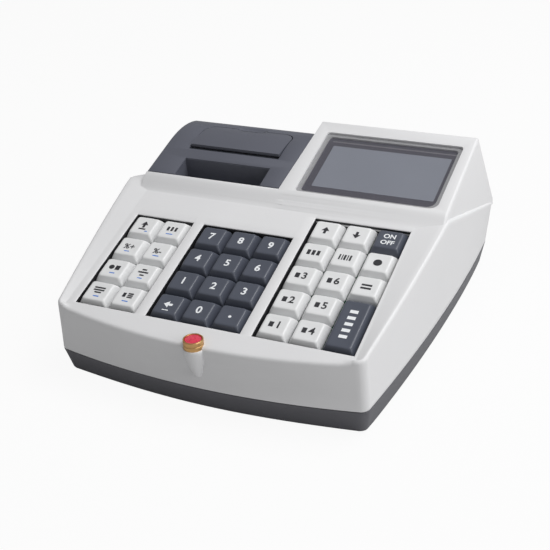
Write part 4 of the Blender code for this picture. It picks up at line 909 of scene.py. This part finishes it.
def makeTray():
    columns, rows, border = bodyGrid([], [], tray["gridSpacing"])
    halves = (housing["frontHalf"], housing["wideHalf"], housing["rearHalf"])
    rim = [Vector((*outlineAt(columns, rows, i, j, halves), 0)) for i, j in border]
    low, high, fade = tray["bottom"], partingLow - tray["seam"], tray["fade"]

    def ringAt(z, extra=0.0):
        # the rim drawn in towards the bottom, more at the front than at the sides
        share = (high - z) / (high - low)
        ring = []
        for spot in rim:
            sideShare = abs(spot.x) / housing["wideHalf"]
            x = spot.x - math.copysign((tray["sideInset"] * sideShare ** 2 * share) + extra * sideShare ** 4, spot.x)
            ahead = soften((yFront + fade - spot.y) / fade)
            y = spot.y + (tray["frontInset"] * share + extra) * ahead
            behind = soften((spot.y - yRear + fade) / fade)
            y -= (tray["sideInset"] * share + extra) * behind
            ring.append((x, y, z))
        return ring

    work = bmesh.new()
    levels = [(high, tray["topRound"]), (high - 0.15 * mm, 0.12 * mm), (high - tray["topRound"], 0.0)]
    for step in range(1, tray["steps"] + 1):
        z = high - tray["topRound"] + (low + tray["lowRound"] - high + tray["topRound"]) * step / tray["steps"]
        levels.append((z, 0.0))
    for angle in (22.5, 45, 67.5, 90):
        turn = math.radians(angle)
        levels.append((low + tray["lowRound"] * (1 - math.sin(turn)), tray["lowRound"] * (1 - math.cos(turn))))
    joinRings(work, [[work.verts.new(point) for point in ringAt(z, extra)] for z, extra in levels])
    shell = thickened(fromWork("trayShell", work, "darkTray"), tray["wall"])
    install(smoothed(shell, 50), "register", "dark_shell", "base_tray")


foot = {"sides": 48, "edge": 0.35 * mm, "groove": 0.2 * mm}


def makeFeet():
    for node in ("foot_front_left", "foot_front_right", "foot_rear_left", "foot_rear_right"):
        low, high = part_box(node)
        radius = (high.x - low.x) / 2
        tall = high.z - low.z
        edge, groove = foot["edge"], foot["groove"]
        profile = [(0, tall), (radius, tall), (radius, edge), (radius - edge * 0.3, edge * 0.3), (radius - edge, 0),
                   (radius * 0.62, 0), (radius * 0.58, groove), (radius * 0.34, groove), (radius * 0.3, 0), (0, 0)]
        centre = (low + high) / 2
        pad = lathe("pad_" + node, profile, (centre.x, centre.y, low.z), foot["sides"], "footRubber")
        install(pad, "register", "black_rubber", node)


# keys: caps with dished tops, and their marks

cap = {
    "skirt": 4.2 * mm, "rise": 1.0 * mm, "gap": 0.6 * mm, "topInset": 2.2 * mm, "dish": 0.22 * mm,
    "cornerBase": 0.9 * mm, "cornerTop": 1.6 * mm, "cornerSteps": 5, "stemHalf": 2.0 * mm, "stem": 9.4 * mm,
    "markDepth": 0.03 * mm, "lip": 0.5 * mm, "wall": 1.0 * mm, "stemTop": 0.3 * mm,
}


def capRing(work, halfX, halfY, corner, z):
    ring = roundedOutline(-halfX, halfX, -halfY, halfY, (corner,) * 4, cap["cornerSteps"])
    return [work.verts.new((x, y, z)) for x, y in ring]


def makeCap(name, tall, look):
    halfX = (pitch - cap["gap"]) / 2
    halfY = (pitch * tall - cap["gap"]) / 2
    rise, inset = cap["rise"], cap["topInset"]
    work = bmesh.new()
    layers = [(cap["lip"], -cap["skirt"], cap["cornerBase"]), (0, -cap["skirt"], cap["cornerBase"]),
              (0, -cap["skirt"] + cap["lip"], cap["cornerBase"]),
              (inset * 0.42, -1.5 * mm, cap["cornerBase"] * 1.2),
              (inset * 0.84, rise - 0.85 * mm, cap["cornerTop"]), (inset * 0.93, rise - 0.45 * mm, cap["cornerTop"]),
              (inset * 1.08, rise - 0.14 * mm, cap["cornerTop"]), (inset * 1.3, rise - 0.01 * mm, cap["cornerTop"]),
              (inset * 1.6, rise - 0.02 * mm, cap["cornerTop"]), (inset * 2.3, rise - cap["dish"] * 0.6, 1.4 * mm),
              (inset * 3.1, rise - cap["dish"], 1.2 * mm)]
    joinRings(work, [capRing(work, halfX - drawn, halfY - drawn, corner, z) for drawn, z, corner in layers])
    shell = smoothed(thickened(fromWork(name, work, look), cap["wall"]), 45)
    half = cap["stemHalf"]
    stem = prism(name + "Stem", roundedOutline(-half, half, -half, half, (cap["lip"],) * 4, 3), -cap["stem"],
                 -cap["stemTop"], "Z", look)
    return joinedPieces(name, shell, smoothed(stem, 40))


def textMark(letters, size, look):
    curve = bpy.data.curves.new("mark", "FONT")
    curve.body = letters
    curve.size = size
    curve.align_x = "CENTER"
    curve.align_y = "CENTER"
    curve.extrude = cap["markDepth"] / 2
    curve.offset = size * 0.022
    curve.resolution_u = 4
    made = bpy.data.objects.new("mark", curve)
    scene.collection.objects.link(made)
    made = settled(made)
    made.data.materials.clear()
    made.data.materials.append(finishes[look])
    return made


def shapeMark(outline, look):
    return prism("mark", [(x * mm, y * mm) for x, y in outline], -cap["markDepth"] / 2, cap["markDepth"] / 2, "Z",
                 look)


def bar(x, y, width, height):
    return [(x - width / 2, y - height / 2), (x + width / 2, y - height / 2), (x + width / 2, y + height / 2),
            (x - width / 2, y + height / 2)]


def arrow(x, y, up):
    head = [(-2.4, -0.2), (0, 2.8), (2.4, -0.2), (0.8, -0.2), (0.8, -2.6), (-0.8, -2.6), (-0.8, -0.2)]
    return [(x + a, y + (b if up else -b)) for a, b in head]


def circle(x, y, radius, count=20):
    return [(x + radius * math.cos(math.tau * step / count), y + radius * math.sin(math.tau * step / count))
            for step in range(count)]


# each key's marks: text or outlines in millimetres on the cap's top
digitMarks = {"key_" + digit: digit for digit in "0123456789"}
departmentMarks = {"key_d" + digit: digit for digit in "123456"}
percentMarks = {"key_percent_plus": "%+", "key_percent_minus": "%-"}
letterSizes = {"digit": 7.0 * mm, "department": 6.8 * mm, "percent": 5.6 * mm, "power": 4.6 * mm}
letterShifts = {"department": 1.9 * mm, "power": 2.5 * mm}
shapeMarks = {
    "key_point": [circle(0, -0.4, 0.9)],
    "key_clear": [arrow(0, 0, True)],
    "key_up": [arrow(0, 0, True)],
    "key_down": [arrow(0, 0, False)],
    "key_feed": [arrow(0, 0.9, True), bar(0, -2.9, 4.6, 1.0)],
    "key_mode": [bar(-2.6, 0.8, 1.5, 3.4), bar(0, 0.8, 1.5, 3.4), bar(2.6, 0.8, 1.5, 3.4)],
    "key_function": [bar(0, 2.7, 7.0, 1.0), bar(0, 0.9, 7.0, 1.0), bar(0, -0.9, 4.4, 1.0)],
    "key_quantity": [bar(-2.2, 0.9, 1.9, 3.2), bar(1.6, 0.9, 3.4, 1.0), bar(1.6, 2.3, 3.4, 1.0),
                     bar(1.6, -0.5, 3.4, 1.0)],
    "key_price": [circle(-2.1, 0.9, 1.7), bar(1.9, 0.9, 3.0, 3.4)],
    "key_void": [bar(0, 0.9, 6.6, 1.1), bar(0, -1.4, 3.0, 1.0), bar(0, 3.0, 3.0, 1.0)],
    "key_subtotal": [bar(0, 1.0, 6.0, 1.3), bar(0, -1.4, 6.0, 1.3)],
    "key_department": [bar(-2.9, 0, 1.9, 3.8), bar(0, 0, 1.9, 3.8), bar(2.9, 0, 1.9, 3.8)],
    "key_lookup": [bar(-3.3, 0, 0.9, 4.2), bar(-1.7, 0, 0.6, 4.2), bar(-0.2, 0, 1.2, 4.2), bar(1.5, 0, 0.6, 4.2),
                   bar(3.1, 0, 1.1, 4.2)],
    "key_pay": [circle(0, 0, 2.5)],
    "key_total": [bar(0, -9.0 + 4.5 * step, 4.6, 2.2) for step in range(5)],
}
turnedMarks = {"key_clear": 90}
blueMarks = {
    "key_feed": [bar(3.4, -4.6, 1.8, 0.7)], "key_mode": [bar(0, -3.6, 4.4, 0.7)],
    "key_function": [bar(0.4, -3.9, 3.6, 0.8)], "key_quantity": [bar(0.4, -3.6, 3.8, 0.7)],
    "key_price": [bar(0.4, -3.6, 3.4, 0.7)], "key_void": [bar(0, -3.9, 3.0, 0.7)],
    "key_percent_plus": [bar(0, -3.8, 3.4, 0.7)], "key_percent_minus": [bar(0.6, -3.8, 4.0, 0.7)],
    "key_clear": [bar(0, -4.4, 3.8, 0.6)],
}


def keyMarks(name, look):
    marks = []
    if name in digitMarks:
        marks.append(textMark(digitMarks[name], letterSizes["digit"], look))
    elif name in departmentMarks:
        digit = textMark(departmentMarks[name], letterSizes["department"], look)
        digit.data.transform(Matrix.Translation((letterShifts["department"], 0, 0)))
        marks += [digit, shapeMark(bar(-2.3, 0, 2.6, 3.6), look)]
    elif name in percentMarks:
        marks.append(textMark(percentMarks[name], letterSizes["percent"], look))
    elif name == "key_power":
        for letters, lift in (("ON", letterShifts["power"]), ("OFF", -letterShifts["power"])):
            word = textMark(letters, letterSizes["power"], look)
            word.data.transform(Matrix.Translation((0, lift, 0)))
            marks.append(word)
    for outline in shapeMarks.get(name, ()):
        mark = shapeMark(outline, look)
        mark.data.transform(Matrix.Rotation(math.radians(turnedMarks.get(name, 0)), 4, "Z"))
        marks.append(mark)
    for outline in blueMarks.get(name, ()):
        marks.append(shapeMark(outline, "bluePrint" if look == "darkPrint" else "whitePrint"))
    return marks


def makeKeys():
    for name, joint in keyJoints.items():
        low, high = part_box(name)
        tall = 2 if high.y - low.y > 1.5 * pitch else 1
        dark = frameSlots[name] == "dark_key"
        keyCap = makeCap("cap_" + name, tall, "darkKey" if dark else "lightKey")
        marks = keyMarks(name, "whitePrint" if dark else "darkPrint")
        lift = cap["rise"] - (cap["dish"] * 0.5) + cap["markDepth"]
        for mark in marks:
            mark.data.transform(Matrix.Translation((0, 0, lift)))
            # the print follows the dish
            for vert in mark.data.vertices:
                reach = min(math.hypot(vert.co.x, vert.co.y * (0.4 if tall > 1 else 1)) / (6 * mm), 1)
                vert.co.z += cap["dish"] * (reach ** 2 - 0.5)
        whole = joinedPieces("cap_" + name, keyCap, *marks)
        whole.data.transform(Matrix.Translation(joint["pos_m"]) @ Matrix.Rotation(slope, 4, "X"))
        install(whole, name, frameSlots[name], name)


# display: smoked lens over the edge plate, the pale field and a faint line

display = {
    "lensGap": 0.35 * mm, "lensShare": 0.55, "lensEdge": 0.15 * mm, "frontGap": 2.6 * mm, "sideGap": 0.4 * mm,
    "sunk": 2.6 * mm, "deep": 5.8 * mm, "fieldLeft": 7.0 * mm, "fieldRight": 4.4 * mm, "fieldFront": 9.0 * mm,
    "fieldRear": 9.5 * mm, "fieldCorner": 0.6 * mm, "fieldRise": 0.12 * mm, "lineRear": 5.9 * mm,
    "lineWide": 1.0 * mm, "lineReach": 2.0 * mm, "lineRise": 0.06 * mm, "root": 0.3 * mm,
}


def makeDisplay():
    face = pod["offset"] - windowSet["sunk"]
    thick = (windowSet["pocket"] - windowSet["sunk"]) * display["lensShare"]
    lens = prism("displayLens", windowOutline(display["lensGap"]), face - thick, face, "Z", "lens")
    eased(lens, display["lensEdge"], 2, 50)
    lens.data.transform(panelFrame)
    install(smoothed(lens, 50), "register", "smoked_lens", "display_window")
    left = windowSet["left"] + display["sideGap"]
    right = windowSet["left"] + windowSet["width"] - display["sideGap"]
    front = windowSet["front"] + display["frontGap"]
    rear = windowSet["front"] + windowSet["depth"] - display["sideGap"]
    top = pod["offset"] - display["sunk"]
    root = top - display["root"]
    plate = prism("displayEdge", [(left, front), (right, front), (right, rear), (left, rear)],
                  top - display["deep"], top, "Z", "screenEdge")
    fieldLeft, fieldRight = left + display["fieldLeft"], right - display["fieldRight"]
    outline = roundedOutline(fieldLeft, fieldRight, windowSet["front"] + display["fieldFront"],
                             rear - display["fieldRear"], (display["fieldCorner"],) * 4, 3)
    field = prism("displayField", outline, root, top + display["fieldRise"], "Z", "screenField")
    lineFront, lineRear = rear - display["lineRear"], rear - display["lineRear"] + display["lineWide"]
    lineLeft, lineRight = fieldLeft - display["lineReach"], fieldRight + display["lineReach"]
    line = prism("displayLine", [(lineLeft, lineFront), (lineRight, lineFront), (lineRight, lineRear),
                                 (lineLeft, lineRear)], root, top + display["lineRise"], "Z", "screenLine")
    whole = joinedPieces("displayPanel", plate, field, line)
    whole.data.transform(panelFrame)
    install(whole, "register", "lcd_grey", "display_module")


# printer cover and its lid

cover = {
    "offset": 4.5 * mm, "wall": 2.2 * mm, "frontRun": 121.2 * mm, "rearRun": 221 * mm, "crownStart": 150 * mm,
    "crownEnd": 187 * mm, "crownDrop": 9.2 * mm, "rearHeight": 48 * mm, "sideRound": 1.8 * mm, "edge": 0.4 * mm,
    "low": 36 * mm, "roofSteps": 14,
}
lid = {
    "left": -75.5 * mm, "right": -13.5 * mm, "front": 149 * mm, "rear": 176 * mm, "corner": 8 * mm,
    "gap": 0.6 * mm, "slot": 2.6 * mm, "edge": 0.75 * mm, "nose": 1.5 * mm, "noseRun": 20 * mm,
    "scoopWide": 20 * mm, "scoopRadius": 9 * mm, "scoopDeep": 1.1 * mm, "scoopBehind": 1.6 * mm,
    "scoopEase": 3 * mm, "scoopEnd": 4 * mm, "lowCorner": 0.3 * mm, "wall": 1.8 * mm,
    "rodRadius": 1.7 * mm, "rodEdge": 0.3 * mm, "ribCount": 5, "ribHalf": 0.6 * mm, "ribRear": 3 * mm,
    "ribRoot": 1.6 * mm, "ribTip": 2.4 * mm,
}
recess = {
    "left": -73.5 * mm, "right": -14.5 * mm, "depth": 16.5 * mm, "ahead": 9 * mm, "rise": 4 * mm, "lean": 1.2 * mm,
    "liner": 1.2 * mm, "floorStart": 11.2 * mm, "floorWall": 0.6 * mm, "sideStart": 2.4 * mm, "rimDrop": 1 * mm,
}
lidHinge = next(joint for joint in frame["joints"] if joint["child"] == "paper_lid")["pos_m"]
ear = {"gap": 0.8 * mm, "wide": 4 * mm, "half": 3.2 * mm, "rise": 1.2 * mm, "lowCorner": 1.5 * mm,
       "highCorner": 0.3 * mm}
aboveAll = 0.2


def roofAt(y):
    run = y - yFront
    share = max((run - cover["crownStart"]) / (cover["crownEnd"] - cover["crownStart"]), 0)
    return planeHeight(y, cover["offset"]) - cover["crownDrop"] * share ** 2.3


def coverProfile(inset):
    start, end = yFront + cover["frontRun"] + inset, yFront + cover["crownEnd"] - inset * 0.7
    points = []
    for step in range(cover["roofSteps"] + 1):
        y = start + (end - start) * step / cover["roofSteps"]
        points.append((y, roofAt(y) - inset * 1.04))
    rear = yFront + cover["rearRun"] - inset
    points += [(rear, cover["rearHeight"]), (rear, cover["low"]), (start, cover["low"])]
    return points


def lidOutline(margin, slot):
    radius = lid["corner"] + margin
    return roundedOutline(lid["left"] - margin, lid["right"] + margin, yFront + lid["front"] - slot,
                          yFront + lid["rear"] + margin, (lid["lowCorner"],) * 2 + (radius,) * 2, 8)


def scoopCutter():
    radius, half = lid["scoopRadius"], lid["scoopWide"] / 2
    y = yFront + lid["rear"] + lid["scoopBehind"]
    z = roofAt(y) + radius - lid["scoopDeep"]
    middle = (lid["left"] + lid["right"]) / 2
    ease, end = half + lid["scoopEase"], half + lid["scoopEnd"]
    profile = [(0, -end), (radius * 0.55, -ease), (radius * 0.92, -half), (radius, -half * 0.6),
               (radius, half * 0.6), (radius * 0.92, half), (radius * 0.55, ease), (0, end)]
    return lathe("scoop", profile, (middle, y, z), 72, axis="X")


def makeCover():
    left, right = coverLow.x, coverHigh.x
    body = prism("coverShell", coverProfile(0), left, right, "X", "darkShell")
    for vert in body.data.vertices:
        if vert.co.x > left + 1 * mm:
            share = (vert.co.y - yFront - housing["bend"]) / (pod["topRun"] - housing["bend"])
            podSide = pod["left"] + (pod["leftRear"] - pod["left"]) * min(max(share, 0), 1)
            vert.co.x = min(vert.co.x, podSide - pod["frontMargin"])
    bevelled(body, lambda edge: all(vert.co.x < left + 0.1 * mm for vert in edge.verts) and aboveRear(edge),
             cover["sideRound"], 4)
    wall = cover["wall"]
    inside = prism("inside", coverProfile(wall), left + wall, right - wall, "X")
    for vert in inside.data.vertices:
        if vert.co.z < cover["low"] + 1 * mm:
            vert.co.z -= 20 * mm
    opening = prism("opening", lidOutline(lid["gap"], lid["slot"]), cover["low"] + 30 * mm, aboveAll, "Z")
    start = yFront + cover["frontRun"]
    rear, base = start + recess["depth"], cover["low"] + recess["rise"]
    exitHole = prism("exitHole", [(start - recess["ahead"], base), (rear, base), (rear - recess["lean"], aboveAll),
                                  (start - recess["ahead"], aboveAll)], recess["left"], recess["right"], "X")
    carve(body, "DIFFERENCE", inside, opening, exitHole, scoopCutter())
    eased(body, cover["edge"], 2, 50)
    install(smoothed(body, 45), "register", "dark_shell", "printer_cover")
    # the recess's own walls and floor, behind the tear bar
    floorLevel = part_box("print_head")[1].z + 0.15 * mm
    wall, ridge = recess["liner"], roofAt(rear) - recess["rimDrop"]
    plates = [prism("liner", [(rear, floorLevel), (rear + wall, floorLevel), (rear + 0.6 * mm, ridge),
                              (rear - 0.5 * mm, ridge)],
                    recess["left"] - wall, recess["right"] + wall, "X", "darkShell"),
              prism("liner", [(start + recess["floorStart"], floorLevel), (rear + 0.5 * mm, floorLevel),
                              (rear + 0.5 * mm, floorLevel + recess["floorWall"]),
                              (start + recess["floorStart"], floorLevel + recess["floorWall"])],
                    recess["left"] - 1 * mm, recess["right"] + 1 * mm, "X", "darkShell")]
    ahead = start + recess["sideStart"]
    for side, sign in ((recess["left"], -1), (recess["right"], 1)):
        near, far = sorted((side + sign * 0.05 * mm, side + sign * wall))
        plates.append(prism("liner", [(ahead, floorLevel), (rear + 1 * mm, floorLevel), (rear + 0.6 * mm, ridge),
                                      (ahead, roofAt(start) - recess["rimDrop"])], near, far, "X", "darkShell"))
    install(joinedPieces("recessLiner", *plates), "register", "dark_shell")
    # the ears that carry the lid, under the roof
    corners = (ear["lowCorner"],) * 2 + (ear["highCorner"],) * 2
    outline = roundedOutline(lidHinge[1] - ear["half"], lidHinge[1] + ear["half"], lidHinge[2] - ear["half"],
                             lidHinge[2] + ear["rise"], corners, 4)
    for name, side, sign in (("lidEarLeft", lid["left"], -1), ("lidEarRight", lid["right"], 1)):
        near = side + sign * ear["gap"]
        low, high = sorted((near, near + sign * ear["wide"]))
        install(smoothed(prism(name, outline, low, high, "X", "darkShell"), 40), "register", "dark_shell")


def makeLid():
    plate = prism("lidPlate", coverProfile(0), lid["left"], lid["right"], "X", "darkShell")
    under = prism("under", coverProfile(lid["wall"]), lid["left"] - 9 * mm, lid["right"] + 9 * mm, "X")
    keep = prism("keep", lidOutline(0, 0), cover["low"] + 30 * mm, aboveAll, "Z")
    carve(plate, "DIFFERENCE", under)
    carve(plate, "INTERSECT", keep)
    carve(plate, "DIFFERENCE", scoopCutter())
    for vert in plate.data.vertices:
        share = (vert.co.y - yFront - lid["front"]) / lid["noseRun"]
        vert.co.z += lid["nose"] * max(1 - max(share, 0), 0) ** 1.5
    eased(plate, lid["edge"], 4, 50)
    smoothed(plate, 45)
    low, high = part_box("paper_lid")
    half, radius, edge = (high.x - low.x) / 2, lid["rodRadius"], lid["rodEdge"]
    profile = [(0, -half), (radius - edge, -half), (radius, -half + edge), (radius, half - edge),
               (radius - edge, half), (0, half)]
    rod = lathe("lidRod", profile, lidHinge, 32, "darkShell", axis="X")
    near, far = lidHinge[1], yFront + lid["rear"] - lid["ribRear"]
    outline = [(near, roofAt(near) - lid["ribRoot"]), (far, roofAt(far) - lid["ribRoot"]),
               (far, roofAt(far) - lid["ribTip"]), (near, lidHinge[2])]
    bars = []
    for step in range(lid["ribCount"]):
        x = lid["left"] + (lid["right"] - lid["left"]) * (step + 0.5) / lid["ribCount"]
        bars.append(prism("rib", outline, x - lid["ribHalf"], x + lid["ribHalf"], "X", "darkShell"))
    whole = joinedPieces("lidPlate", plate, rod, *bars)
    install(whole, "paper_lid", "dark_shell", "paper_lid")


# printer's inside: the roll, the platen and the plain finishes of the other nodes

roll = {"core": 6.1 * mm, "edge": 0.2 * mm, "tubeGap": 0.15 * mm, "tubeInside": 1.2 * mm}
platen = {"bore": 2.3 * mm, "edge": 0.3 * mm}


def sleeve(name, node, bore, edge, sides, look):
    # a turned sleeve along x that fills the node's box, with its corners broken
    low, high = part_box(node)
    half, radius = (high.x - low.x) / 2, (high.z - low.z) / 2
    profile = [(bore, -half), (radius - edge, -half), (radius, -half + edge), (radius, half - edge),
               (radius - edge, half), (bore, half), (bore, -half)]
    return lathe(name, profile, (low + high) / 2, sides, look, axis="X")


def makeRoll():
    winding = sleeve("paperWinding", "paper_roll", roll["core"], roll["edge"], 96, "paper")
    install(winding, "paper_roll", "white_paper", "paper_roll")
    low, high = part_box("paper_roll")
    half = (high.x - low.x) / 2
    outside, inside = roll["core"] - roll["tubeGap"], roll["core"] - roll["tubeInside"]
    profile = [(outside, -half), (outside, half), (inside, half), (inside, -half), (outside, -half)]
    tube = lathe("paperCore", profile, (low + high) / 2, 48, "whiteNylon", axis="X")
    install(tube, "paper_roll", "white_paper")


def makePlaten():
    roller = sleeve("platenSleeve", "platen_roller", platen["bore"], platen["edge"], 64, "rollerRubber")
    install(roller, "platen", "black_rubber", "platen_roller")


plainNodes = {
    "tear_bar": "blackSteel", "printer_frame": "blackSteel", "print_head": "steel", "platen_shaft": "brightSteel",
    "platen_gear": "whiteNylon", "motor_gear": "brass", "feed_motor": "steel", "keyboard_board": "board",
    "key_mat": "matRubber", "main_board": "board", "battery_pack": "wrap", "rear_sockets": "blackPlastic",
}


def dressNodes():
    for node, look in plainNodes.items():
        mesh = cadNodes[node].data
        mesh.materials.clear()
        mesh.materials.append(finishes[look])


# repeated details by Geometry Nodes: screws and slots under the base, slots at the back

def nodeTree(name, inputs):
    tree = bpy.data.node_groups.new(name, "GeometryNodeTree")
    for label, kind in inputs:
        tree.interface.new_socket(name=label, in_out="INPUT", socket_type=kind)
    tree.interface.new_socket(name="Geometry", in_out="OUTPUT", socket_type="NodeSocketGeometry")
    return tree, tree.nodes.new("NodeGroupInput"), tree.nodes.new("NodeGroupOutput")


def grownPiece(name, tree, values):
    # a tree's result as a plain mesh
    holder = bpy.data.objects.new(name, bpy.data.meshes.new(name))
    scene.collection.objects.link(holder)
    grow = holder.modifiers.new("grow", "NODES")
    grow.node_group = tree
    sockets = {item.name: item.identifier for item in tree.interface.items_tree if item.in_out == "INPUT"}
    for label, value in values.items():
        grow[sockets[label]] = value
    return settled(holder)


def spread(tree, result, points, shapes, look):
    # the shapes on every point, realized and dressed
    both = addNode(tree, "GeometryNodeJoinGeometry")
    for shape in shapes:
        tree.links.new(shape.outputs[0], both.inputs[0])
    copies = addNode(tree, "GeometryNodeInstanceOnPoints", None, Points=points.outputs[0], Instance=both.outputs[0])
    real = addNode(tree, "GeometryNodeRealizeInstances", None, Geometry=copies.outputs[0])
    dressed = addNode(tree, "GeometryNodeSetMaterial", None, Geometry=real.outputs[0], Material=finishes[look])
    tree.links.new(dressed.outputs[0], result.inputs[0])


ribs = {
    "base": {"Count": 14, "Spacing": 4.2 * mm, "Length": 34 * mm, "Width": 1.8 * mm, "Depth": 0.25 * mm},
    "rear": {"Count": 14, "Spacing": 4.2 * mm, "Length": 13 * mm, "Width": 1.9 * mm, "Depth": 12 * mm},
}


ribPlace = {"endShare": 0.49, "baseRear": 30 * mm, "baseSunk": 0.05 * mm, "rearIn": 6 * mm, "rearLift": 13 * mm}


def ribTree(look):
    # a row of round-ended bars
    labels = ("Spacing", "Length", "Width", "Depth")
    tree, given, result = nodeTree("ribRow", [("Count", "NodeSocketInt")] + [(label, "NodeSocketFloat")
                                                                             for label in labels])
    step = addNode(tree, "ShaderNodeCombineXYZ", X=given.outputs["Spacing"])
    line = addNode(tree, "GeometryNodeMeshLine", None, Count=given.outputs["Count"], Offset=step.outputs[0])
    shape = addNode(tree, "GeometryNodeCurvePrimitiveQuadrilateral", None, Width=given.outputs["Width"],
                    Height=given.outputs["Length"])
    radius = Shade(tree, given.outputs["Width"]) * ribPlace["endShare"]
    ends = addNode(tree, "GeometryNodeFilletCurve", {"mode": "POLY"}, Curve=shape.outputs[0], Count=5,
                   Radius=radius.socket)
    filled = addNode(tree, "GeometryNodeFillCurve", None, Curve=ends.outputs[0])
    raised = addNode(tree, "GeometryNodeExtrudeMesh", None, Mesh=filled.outputs[0],
                     Offset_Scale=given.outputs["Depth"])
    flipped = addNode(tree, "GeometryNodeFlipFaces", None, Mesh=filled.outputs[0])
    spread(tree, result, line, (raised, flipped), look)
    return tree


screws = {"Spread X": 150 * mm, "Spread Y": 150 * mm, "Radius": 3.1 * mm, "Height": 0.6 * mm}
screwSocket = {"Radius": 1.3 * mm, "Depth": 0.75 * mm, "Vertices": 6}
screwSunk = 0.15 * mm


def makeScrews():
    # one screw head by each corner of the base, sunk a little into it
    tree, given, result = nodeTree("screwHeads", [(label, "NodeSocketFloat") for label in screws])
    places = addNode(tree, "GeometryNodeMeshGrid", None, Size_X=given.outputs["Spread X"],
                     Size_Y=given.outputs["Spread Y"], Vertices_X=2, Vertices_Y=2)
    head = addNode(tree, "GeometryNodeMeshCylinder", None, Vertices=24, Radius=given.outputs["Radius"],
                   Depth=given.outputs["Height"])
    spread(tree, result, places, (head, addNode(tree, "GeometryNodeMeshCylinder", None, **screwSocket)), "steel")
    piece = grownPiece("baseScrews", tree, screws)
    piece.data.transform(Matrix.Translation((0, 0, tray["bottom"] + screwSunk)))
    install(smoothed(piece, 40), "register", "steel")


def makeRibs():
    under = grownPiece("baseRibs", ribTree("darkTray"), ribs["base"])
    width = ribs["base"]["Spacing"] * (ribs["base"]["Count"] - 1)
    place = Matrix.Translation((-width / 2, ribPlace["baseRear"], tray["bottom"] + ribPlace["baseSunk"]))
    under.data.transform(place @ Matrix.Rotation(math.pi, 4, "Y") @ Matrix.Translation((-width, 0, 0)))
    install(smoothed(under, 40), "register", "dark_shell")


# light and floor

light = {
    "world": 0.33,
    "key": {"place": (0.55, 0.25, 1.25), "size": 0.9, "power": 14.5},
    "fill": {"place": (1.2, -0.25, 0.45), "size": 0.9, "power": 4.2},
    "aim": (0, 0, 0.04), "floorColour": 0.6, "floorRoughness": 0.9, "floorGlow": 0.93, "floorHalf": 3.0,
}


def addLight(name):
    values = light[name]
    data = bpy.data.lights.new(name, "AREA")
    data.shape = "DISK"
    data.size = values["size"]
    data.energy = values["power"]
    lamp = bpy.data.objects.new(name, data)
    place = Vector(values["place"])
    turn = (place - Vector(light["aim"])).to_track_quat("Z", "Y").to_matrix().to_4x4()
    lamp.matrix_world = Matrix.Translation(place) @ turn
    scene.collection.objects.link(lamp)


def addStudio():
    for name in ("key", "fill"):
        addLight(name)
    world = bpy.data.worlds.new("studio")
    scene.world = world
    world.use_nodes = True
    # the world is white to the camera and through the lens, and dimmer as a light
    tree = world.node_tree
    path = addNode(tree, "ShaderNodeLightPath")
    camera, passing = (Shade(tree, path.outputs[ray]) for ray in ("Is Camera Ray", "Is Transmission Ray"))
    seen = camera.maths("MAXIMUM", camera, passing)
    strength = addNode(tree, "ShaderNodeMapRange", None, Value=seen.socket, To_Min=light["world"], To_Max=1.0)
    back = tree.nodes["Background"]
    back.inputs["Color"].default_value = (1, 1, 1, 1)
    tree.links.new(strength.outputs[0], back.inputs["Strength"])
    # the floor takes shadows, and glows so that the camera sees it nearly white
    floorLook = bpy.data.materials.new("paleFloor")
    floorLook.use_nodes = True
    tree = floorLook.node_tree
    shader = tree.nodes["Principled BSDF"]
    shader.inputs["Base Color"].default_value = (light["floorColour"],) * 3 + (1,)
    shader.inputs["Roughness"].default_value = light["floorRoughness"]
    glow = addNode(tree, "ShaderNodeEmission")
    path = addNode(tree, "ShaderNodeLightPath")
    share = Shade(tree, path.outputs["Is Camera Ray"]) * light["floorGlow"]
    mix = addNode(tree, "ShaderNodeMixShader")
    for source, socket in zip((share.socket, shader.outputs[0], glow.outputs[0]), mix.inputs):
        tree.links.new(source, socket)
    tree.links.new(mix.outputs[0], tree.nodes["Material Output"].inputs["Surface"])
    work = bmesh.new()
    bmesh.ops.create_grid(work, x_segments=1, y_segments=1, size=light["floorHalf"])
    mesh = bpy.data.meshes.new("floor")
    work.to_mesh(mesh)
    work.free()
    mesh.materials.append(floorLook)
    floor = bpy.data.objects.new("floor", mesh)
    scene.collection.objects.link(floor)


addCamera()
addStudio()
print("camera, light and floor set")
shell = makeHousing()
podPiece = makePod()
install(shell, "register", "light_shell", "upper_housing")
install(podPiece, "register", "light_shell")
print("housing made:", len(shell.data.polygons), "faces")
makeSeal()
makeTray()
makeFeet()
print("tray, feet and seal made")
makeKeys()
print("keys made:", len(keyJoints))
makeDisplay()
makeCover()
makeLid()
print("display, cover and lid made")
makeRoll()
makePlaten()
dressNodes()
makeScrews()
makeRibs()
print("inside pieces and small details made")
